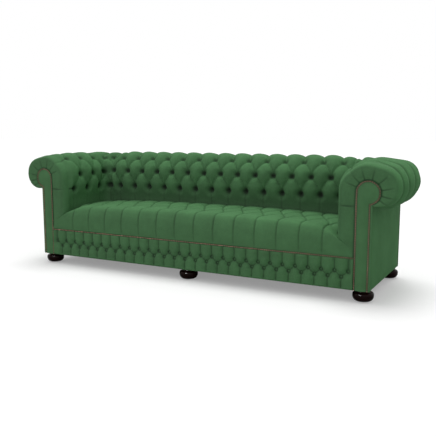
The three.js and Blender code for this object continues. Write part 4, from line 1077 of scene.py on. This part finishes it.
def facing_panel():
    radius = NAIL_RADIUS + FACING_MARGIN
    straight = np.linspace(BASE_Z, SCROLL_Z - radius, FACING_ROWS)
    head = SCROLL_Z - radius * np.cos(np.linspace(0, pi, FACING_HEAD_ROWS)[1:])
    head[-1] -= FACING_TIP_GAP
    z = np.concatenate([straight, head])[:, None]
    left, right = facing_bounds(z)
    x = left + (right - left) * (1 - np.cos(np.linspace(0, pi, FACING_COLUMNS))) / 2
    nails = facing_nail_path()
    nail_line = grid_points(nails[:, 0], 0.0, nails[:, 1])
    distance = chain_distance(grid_points(x, 0.0, z).reshape(-1, 3), nail_line).reshape(x.shape)
    in_head = np.hypot(x - SCROLL_X, z - SCROLL_Z) < NAIL_RADIUS
    inside = (x > SCROLL_X - NAIL_RADIUS) & ((x < OUTER_NAIL_X) | in_head)
    puff = FACING_PUFF * (1 - np.exp(-((distance / FACING_PUFF_WIDTH) ** 2)))
    outer, inner = grid_points(x, np.where(inside, -puff, 0.0), z), grid_points(x, SKIN - CLEARANCE, z)
    return shell(outer, inner, flip=True, shade=groove_shade(distance))


# Outside panels
def crowned(edge, crown, reach, dip):
    edge = np.maximum(edge, 0)
    return crown * (1 - np.exp(-edge / reach)) - dip * np.exp(-edge / PANEL_DIP_REACH)


def outside_arm_panel():
    y = np.linspace(SKIN, BODY_DEPTH - SKIN - CLEARANCE, 90)[:, None]
    z = np.linspace(BASE_Z, ARM_PANEL_TOP_Z, 70)[None, :]
    up_edge = np.minimum(z - BASE_Z, ARM_PANEL_TOP_Z + ARM_PANEL_TUCK - z)
    edge = np.minimum(np.minimum(y - y[0], y[-1] - y), up_edge)
    x = HALF_WIDTH - ARM_PANEL_INSET + crowned(edge, *ARM_PANEL_FULLNESS)
    return shell(grid_points(x, y, z), grid_points(HALF_WIDTH - SKIN, y, z))


def outside_back():
    x = np.linspace(-HALF_WIDTH, HALF_WIDTH, 200)[:, None]
    z = np.linspace(BASE_Z, OUTSIDE_TOP_Z, 60)[None, :]
    edge = np.minimum(HALF_WIDTH - np.abs(x), z - BASE_Z)
    y = BODY_DEPTH - BACK_PANEL_INSET + crowned(edge, *BACK_PANEL_FULLNESS)
    return shell(grid_points(x, y, z), grid_points(x, BODY_DEPTH - SKIN, z), flip=True)


# Feet
def foot(name):
    low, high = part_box(name)
    centre_x, centre_y = (low[0] + high[0]) / 2, (low[1] + high[1]) / 2
    radius = FOOT_SPREAD * (high[0] - low[0]) / 2
    knots = np.array(FOOT_PROFILE)
    stops = np.linspace(0, len(knots) - 1, FOOT_STEPS * (len(knots) - 1) + 1)
    curve = [[np.interp(s, range(len(knots)), knots[:, k]) for k in (0, 1)] for s in stops]
    curve = [(r, h) for r, h in curve if r > FOOT_LEAST_SHARE]
    vertices = []
    for r, h in curve:
        centre = np.array([centre_x, centre_y, low[2] + (high[2] - low[2]) * h])
        vertices += ring(centre, X_AXIS, Y_AXIS, radius * r, FOOT_SIDES)
    faces = [face[::-1] for face in ring_faces(FOOT_SIDES, len(curve))]
    faces.append(tuple(range(FOOT_SIDES))[::-1])
    faces.append(tuple(len(vertices) - FOOT_SIDES + s for s in range(FOOT_SIDES)))
    return vertices, faces


# Materials
def base_material(name):
    material = bpy.data.materials.new(name)
    material.use_nodes = True
    nodes, links = material.node_tree.nodes, material.node_tree.links
    shader = nodes["Principled BSDF"]
    place = nodes.new("ShaderNodeTexCoord")
    return material, nodes, links, shader, place.outputs["Object"]


def set_inputs(node, **values):
    """Constants on the sockets of a node, with an underscore for each space in a socket's name."""
    for name, value in values.items():
        node.inputs[name.replace("_", " ")].default_value = value


def noise(nodes, links, place, scale, detail=2.0, roughness=0.5):
    node = nodes.new("ShaderNodeTexNoise")
    set_inputs(node, Scale=scale, Detail=detail, Roughness=roughness)
    links.new(place, node.inputs["Vector"])
    return node.outputs["Fac"]


def ramp(nodes, links, value, low_at, low, high_at, high):
    node = nodes.new("ShaderNodeValToRGB")
    links.new(value, node.inputs["Fac"])
    for element, at, colour in zip(node.color_ramp.elements, (low_at, high_at), (low, high)):
        element.position, element.color = at, (*colour, 1)
    return node.outputs["Color"]


def bump(nodes, links, height, strength, distance, onto=None):
    node = nodes.new("ShaderNodeBump")
    set_inputs(node, Strength=strength, Distance=distance)
    links.new(height, node.inputs["Height"])
    if onto is not None:
        links.new(onto, node.inputs["Normal"])
    return node.outputs["Normal"]


def link_or_set(links, socket, value):
    if isinstance(value, bpy.types.NodeSocket):
        links.new(value, socket)
    else:
        socket.default_value = value


def math_node(nodes, links, operation, *values):
    node = nodes.new("ShaderNodeMath")
    node.operation = operation
    for socket, value in zip(node.inputs, values):
        link_or_set(links, socket, value)
    return node.outputs["Value"]


def mix_node(nodes, links, kind, factor, a, b):
    node = nodes.new("ShaderNodeMix")
    node.data_type = kind
    for name, value in (("Factor", factor), ("A", a), ("B", b)):
        link_or_set(links, node.inputs[name], value)
    return node.outputs["Result"]


def linear(colour):
    """From 0..255 as a screen shows it to the light that it stands for."""
    return tuple(((c / 255 + 0.055) / 1.055) ** 2.4 if c / 255 > 0.04045 else c / 255 / 12.92 for c in colour)


def scaled(colour, factor):
    return tuple(min(c * factor, 1) for c in colour)


def weave_height(nodes, links, place, pitch):
    """Over-and-under of a plain weave on faces that look along any axis."""
    split = nodes.new("ShaderNodeSeparateXYZ")
    links.new(place, split.inputs["Vector"])
    waves = []
    for axis in "XYZ":
        turn = math_node(nodes, links, "MULTIPLY", split.outputs[axis], pi / pitch)
        waves.append(math_node(nodes, links, "SINE", turn))
    products = [math_node(nodes, links, "MULTIPLY", waves[a], waves[b]) for a, b in ((0, 1), (1, 2), (0, 2))]
    first_two = math_node(nodes, links, "ADD", products[0], products[1])
    return math_node(nodes, links, "ADD", first_two, products[2])


# Share of the cloth's colour that is left under full painted shade
PAINTED_SHADE_DARKNESS = 0.12
WEAVE_PITCH = 0.0016


def cloth_material(name, colour):
    material, nodes, links, shader, place = base_material(name)
    base = linear(colour)
    broad = noise(nodes, links, place, 7, 9, 0.72)
    fibre = noise(nodes, links, place, 420, 3, 0.7)
    mottle = mix_node(nodes, links, "FLOAT", 0.6, broad, fibre)
    tone = ramp(nodes, links, mottle, 0.35, scaled(base, 0.7), 0.65, scaled(base, 1.28))
    # Painted shade: the shade kept on each point mixes the colour towards a dark copy of the cloth, where
    # light would fall less in holes, pleats, grooves and low places
    folded = nodes.new("ShaderNodeAttribute")
    folded.attribute_name = "painted_shade"
    shade_colour = (*scaled(base, PAINTED_SHADE_DARKNESS), 1)
    shaded = mix_node(nodes, links, "RGBA", folded.outputs["Fac"], tone, shade_colour)
    links.new(shaded, shader.inputs["Base Color"])
    woven = bump(nodes, links, weave_height(nodes, links, place, WEAVE_PITCH), 0.35, 0.0005)
    nap = bump(nodes, links, noise(nodes, links, place, 160, 3), 0.12, 0.001, woven)
    links.new(nap, shader.inputs["Normal"])
    set_inputs(shader, Roughness=0.9, Specular_IOR_Level=0.15)
    set_inputs(shader, Sheen_Weight=0.12, Sheen_Roughness=0.5, Sheen_Tint=(*scaled(base, 2.2), 1))
    return material


def plain_material(name, colour, roughness, metallic=0.0, variation=0.12, scale=30, bumpiness=0.1):
    material, nodes, links, shader, place = base_material(name)
    base = linear(colour)
    grain = noise(nodes, links, place, scale, 4)
    tone = ramp(nodes, links, grain, 0.3, scaled(base, 1 - variation), 0.7, scaled(base, 1 + variation))
    links.new(tone, shader.inputs["Base Color"])
    links.new(bump(nodes, links, grain, bumpiness, 0.001), shader.inputs["Normal"])
    set_inputs(shader, Roughness=roughness, Metallic=metallic)
    return material


cloth = cloth_material("green_cloth", (73, 120, 75))
nail_metal = plain_material("nail_metal", (236, 178, 154), 0.42, 0.35, 0.2, 160)
foot_wood = plain_material("foot_wood", (24, 6, 4), 0.09, 0.0, 0.25, 40, 0.0)
set_inputs(foot_wood.node_tree.nodes["Principled BSDF"], Specular_IOR_Level=0.11)



# Pieces of the scene
def finish_piece(piece, replaced=()):
    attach(piece, "root")
    if replaced:
        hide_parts(*replaced)
    return piece


def both_sides(name, parts, node=None):
    vertices, faces, shade = parts
    flipped, turned = mirrored(vertices, faces)
    for side, points, cells in (("right", vertices, faces), ("left", flipped, turned)):
        piece = make_object(f"{name}_{side}", points, cells, shade, cloth)
        finish_piece(piece, [f"{node}_{side}"] if node else ())


def single(name, parts, material, node=None):
    piece = make_object(name, *parts, material)
    return finish_piece(piece, [node] if node else ())


def dress_soft_parts():
    both_sides("arm_cushioning", arm_pad(), "arm_pad")
    single("back_cushioning", back_pad(), cloth, "back_pad")
    grid, shade = seat_cover()
    single("seat_cushioning", seat_pad(grid, shade), cloth, "seat_pad")
    single("border_cushioning", border_pad(), cloth, "front_border_pad")
    seam_side = seam_run - SEAM_BUTTON_MARGIN
    both_sides("arm_buttons", cover_buttons(0, seam_side))
    single("back_buttons", cover_buttons(seam_side, inf), cloth)
    single("seat_buttons", seat_button_meshes(grid), cloth)
    single("border_buttons", border_button_meshes(), cloth)


def dress_outside():
    both_sides("facing_panel", facing_panel(), "arm_facing")
    both_sides("outside_panel", outside_arm_panel(), "outside_arm_panel")
    single("outside_back", outside_back(), cloth, "outside_back_panel")
    for side, sign in (("right", 1), ("left", -1)):
        strip = f"facing_nail_strip_{side}"
        single(f"facing_nails_{side}", facing_nails(sign), nail_metal, strip)
    single("seat_nails", seat_nails(), nail_metal, "seat_nail_strip")
    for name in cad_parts:
        if name.startswith("foot_") and "stud" not in name and "glide" not in name:
            single(f"bun_{name}", (*foot(name), None), foot_wood, name)


TIMBER_NODES = (
    "base_", "spring_rail", "corner_block", "arm_tack", "arm_roll", "rear_post", "back_roll", "back_tack",
    "back_upright",
)
HIDDEN_MATERIALS = (
    ("timber", (196, 152, 104), (0.7,), TIMBER_NODES),
    ("plywood", (205, 170, 125), (0.7,), "arm_front_board"),
    ("steel", (150, 152, 156), (0.4, 0.9), ("seat_springs", "foot_stud")),
    ("hessian", (170, 145, 105), (0.95, 0, 0.2, 600, 0.6), ("spring_cover", "back_hessian")),
    ("black_cloth", (30, 30, 32), (0.95, 0, 0.2, 700, 0.4), "dust_cover"),
    ("glide_plastic", (44, 44, 44), (0.5,), "foot_glide"),
)


def finish_frame():
    for material_name, colour, finish, starts in HIDDEN_MATERIALS:
        material = plain_material(material_name, colour, *finish)
        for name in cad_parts:
            piece = bpy.data.objects.get(name)
            if piece and name.startswith(starts):
                if not piece.material_slots:
                    piece.data.materials.append(material)
                for slot in piece.material_slots:
                    slot.material = material


# Camera, lamps and floor of the photograph
CAMERA_PLACE = (1.9495, -3.2012, 0.92625)
CAMERA_TILT = 8.035
CAMERA_TURN = 28.055
WORLD_LEVEL = 0.65
FLOOR_BOUNCE = 0.45
SHADOW_LIFT = 0.27
FLOOR_REACH = 60.0
WHITE = (1, 1, 1, 1)


def add_camera():
    data = bpy.data.cameras.new("camera")
    data.lens, data.sensor_width = 50.0, 36.0
    camera = bpy.data.objects.new("camera", data)
    camera.location = placed(CAMERA_PLACE)
    camera.rotation_euler = (radians(90 - CAMERA_TILT), 0, radians(CAMERA_TURN))
    bpy.context.scene.collection.objects.link(camera)
    bpy.context.scene.camera = camera


def add_sun(name, tilt_x, tilt_y, strength, angle):
    data = bpy.data.lights.new(name, "SUN")
    data.energy, data.angle = strength, radians(angle)
    lamp = bpy.data.objects.new(name, data)
    lamp.rotation_euler = (radians(tilt_x), radians(tilt_y), 0)
    bpy.context.scene.collection.objects.link(lamp)


def add_highlight(name, place, target, size, size_y, energy):
    data = bpy.data.lights.new(name, "AREA")
    data.shape = "RECTANGLE"
    data.size, data.size_y, data.energy = size, size_y, energy
    lamp = bpy.data.objects.new(name, data)
    lamp.location = place
    x, y, z = np.array(target) - np.array(place)
    lamp.rotation_euler = (atan2(hypot(x, y), -z), 0, atan2(-x, y))
    lamp.visible_diffuse = False
    bpy.context.scene.collection.objects.link(lamp)


def camera_ray(nodes):
    """1 for a ray from the camera, 0 for light that bounces."""
    return nodes.new("ShaderNodeLightPath").outputs["Is Camera Ray"]


def floor_material():
    """White to the camera, darker for the light that it throws back, with its shadow lifted by a painted
    glow.
    """
    material, nodes, links, shader, _ = base_material("floor_white")
    set_inputs(shader, Roughness=1.0, Specular_IOR_Level=0.0)
    seen = camera_ray(nodes)
    bounce = (FLOOR_BOUNCE, FLOOR_BOUNCE, FLOOR_BOUNCE, 1)
    links.new(mix_node(nodes, links, "RGBA", seen, bounce, WHITE), shader.inputs["Base Color"])
    # Painted light: a share of glow seen by the camera lifts the floor's shadow
    glow = nodes.new("ShaderNodeEmission")
    set_inputs(glow, Strength=1.0)
    blend = nodes.new("ShaderNodeMixShader")
    links.new(math_node(nodes, links, "MULTIPLY", seen, SHADOW_LIFT), blend.inputs["Fac"])
    links.new(shader.outputs["BSDF"], blend.inputs[1])
    links.new(glow.outputs["Emission"], blend.inputs[2])
    links.new(blend.outputs["Shader"], nodes["Material Output"].inputs["Surface"])
    return material


def add_floor():
    r = FLOOR_REACH
    corners = [(-r, -r, 0), (r, -r, 0), (r, r, 0), (-r, r, 0)]
    material = floor_material()
    make_object("floor", corners, [(0, 1, 2, 3)], None, material, False)


def add_world():
    world = bpy.data.worlds.new("studio")
    world.use_nodes = True
    bpy.context.scene.world = world
    nodes, links = world.node_tree.nodes, world.node_tree.links
    background = nodes["Background"]
    set_inputs(background, Color=WHITE)
    strength = mix_node(nodes, links, "FLOAT", camera_ray(nodes), WORLD_LEVEL, 1.0)
    links.new(strength, background.inputs["Strength"])


dress_soft_parts()
dress_outside()
finish_frame()
add_camera()
add_floor()
add_world()
add_sun("overhead", -10, -5, 1.5, 30)
add_highlight("highlight", (-0.3, -4.0, 1.9), (0, 0, 0.1), 1.7, 0.5, 330)

bpy.context.scene.view_settings.view_transform = "Standard"
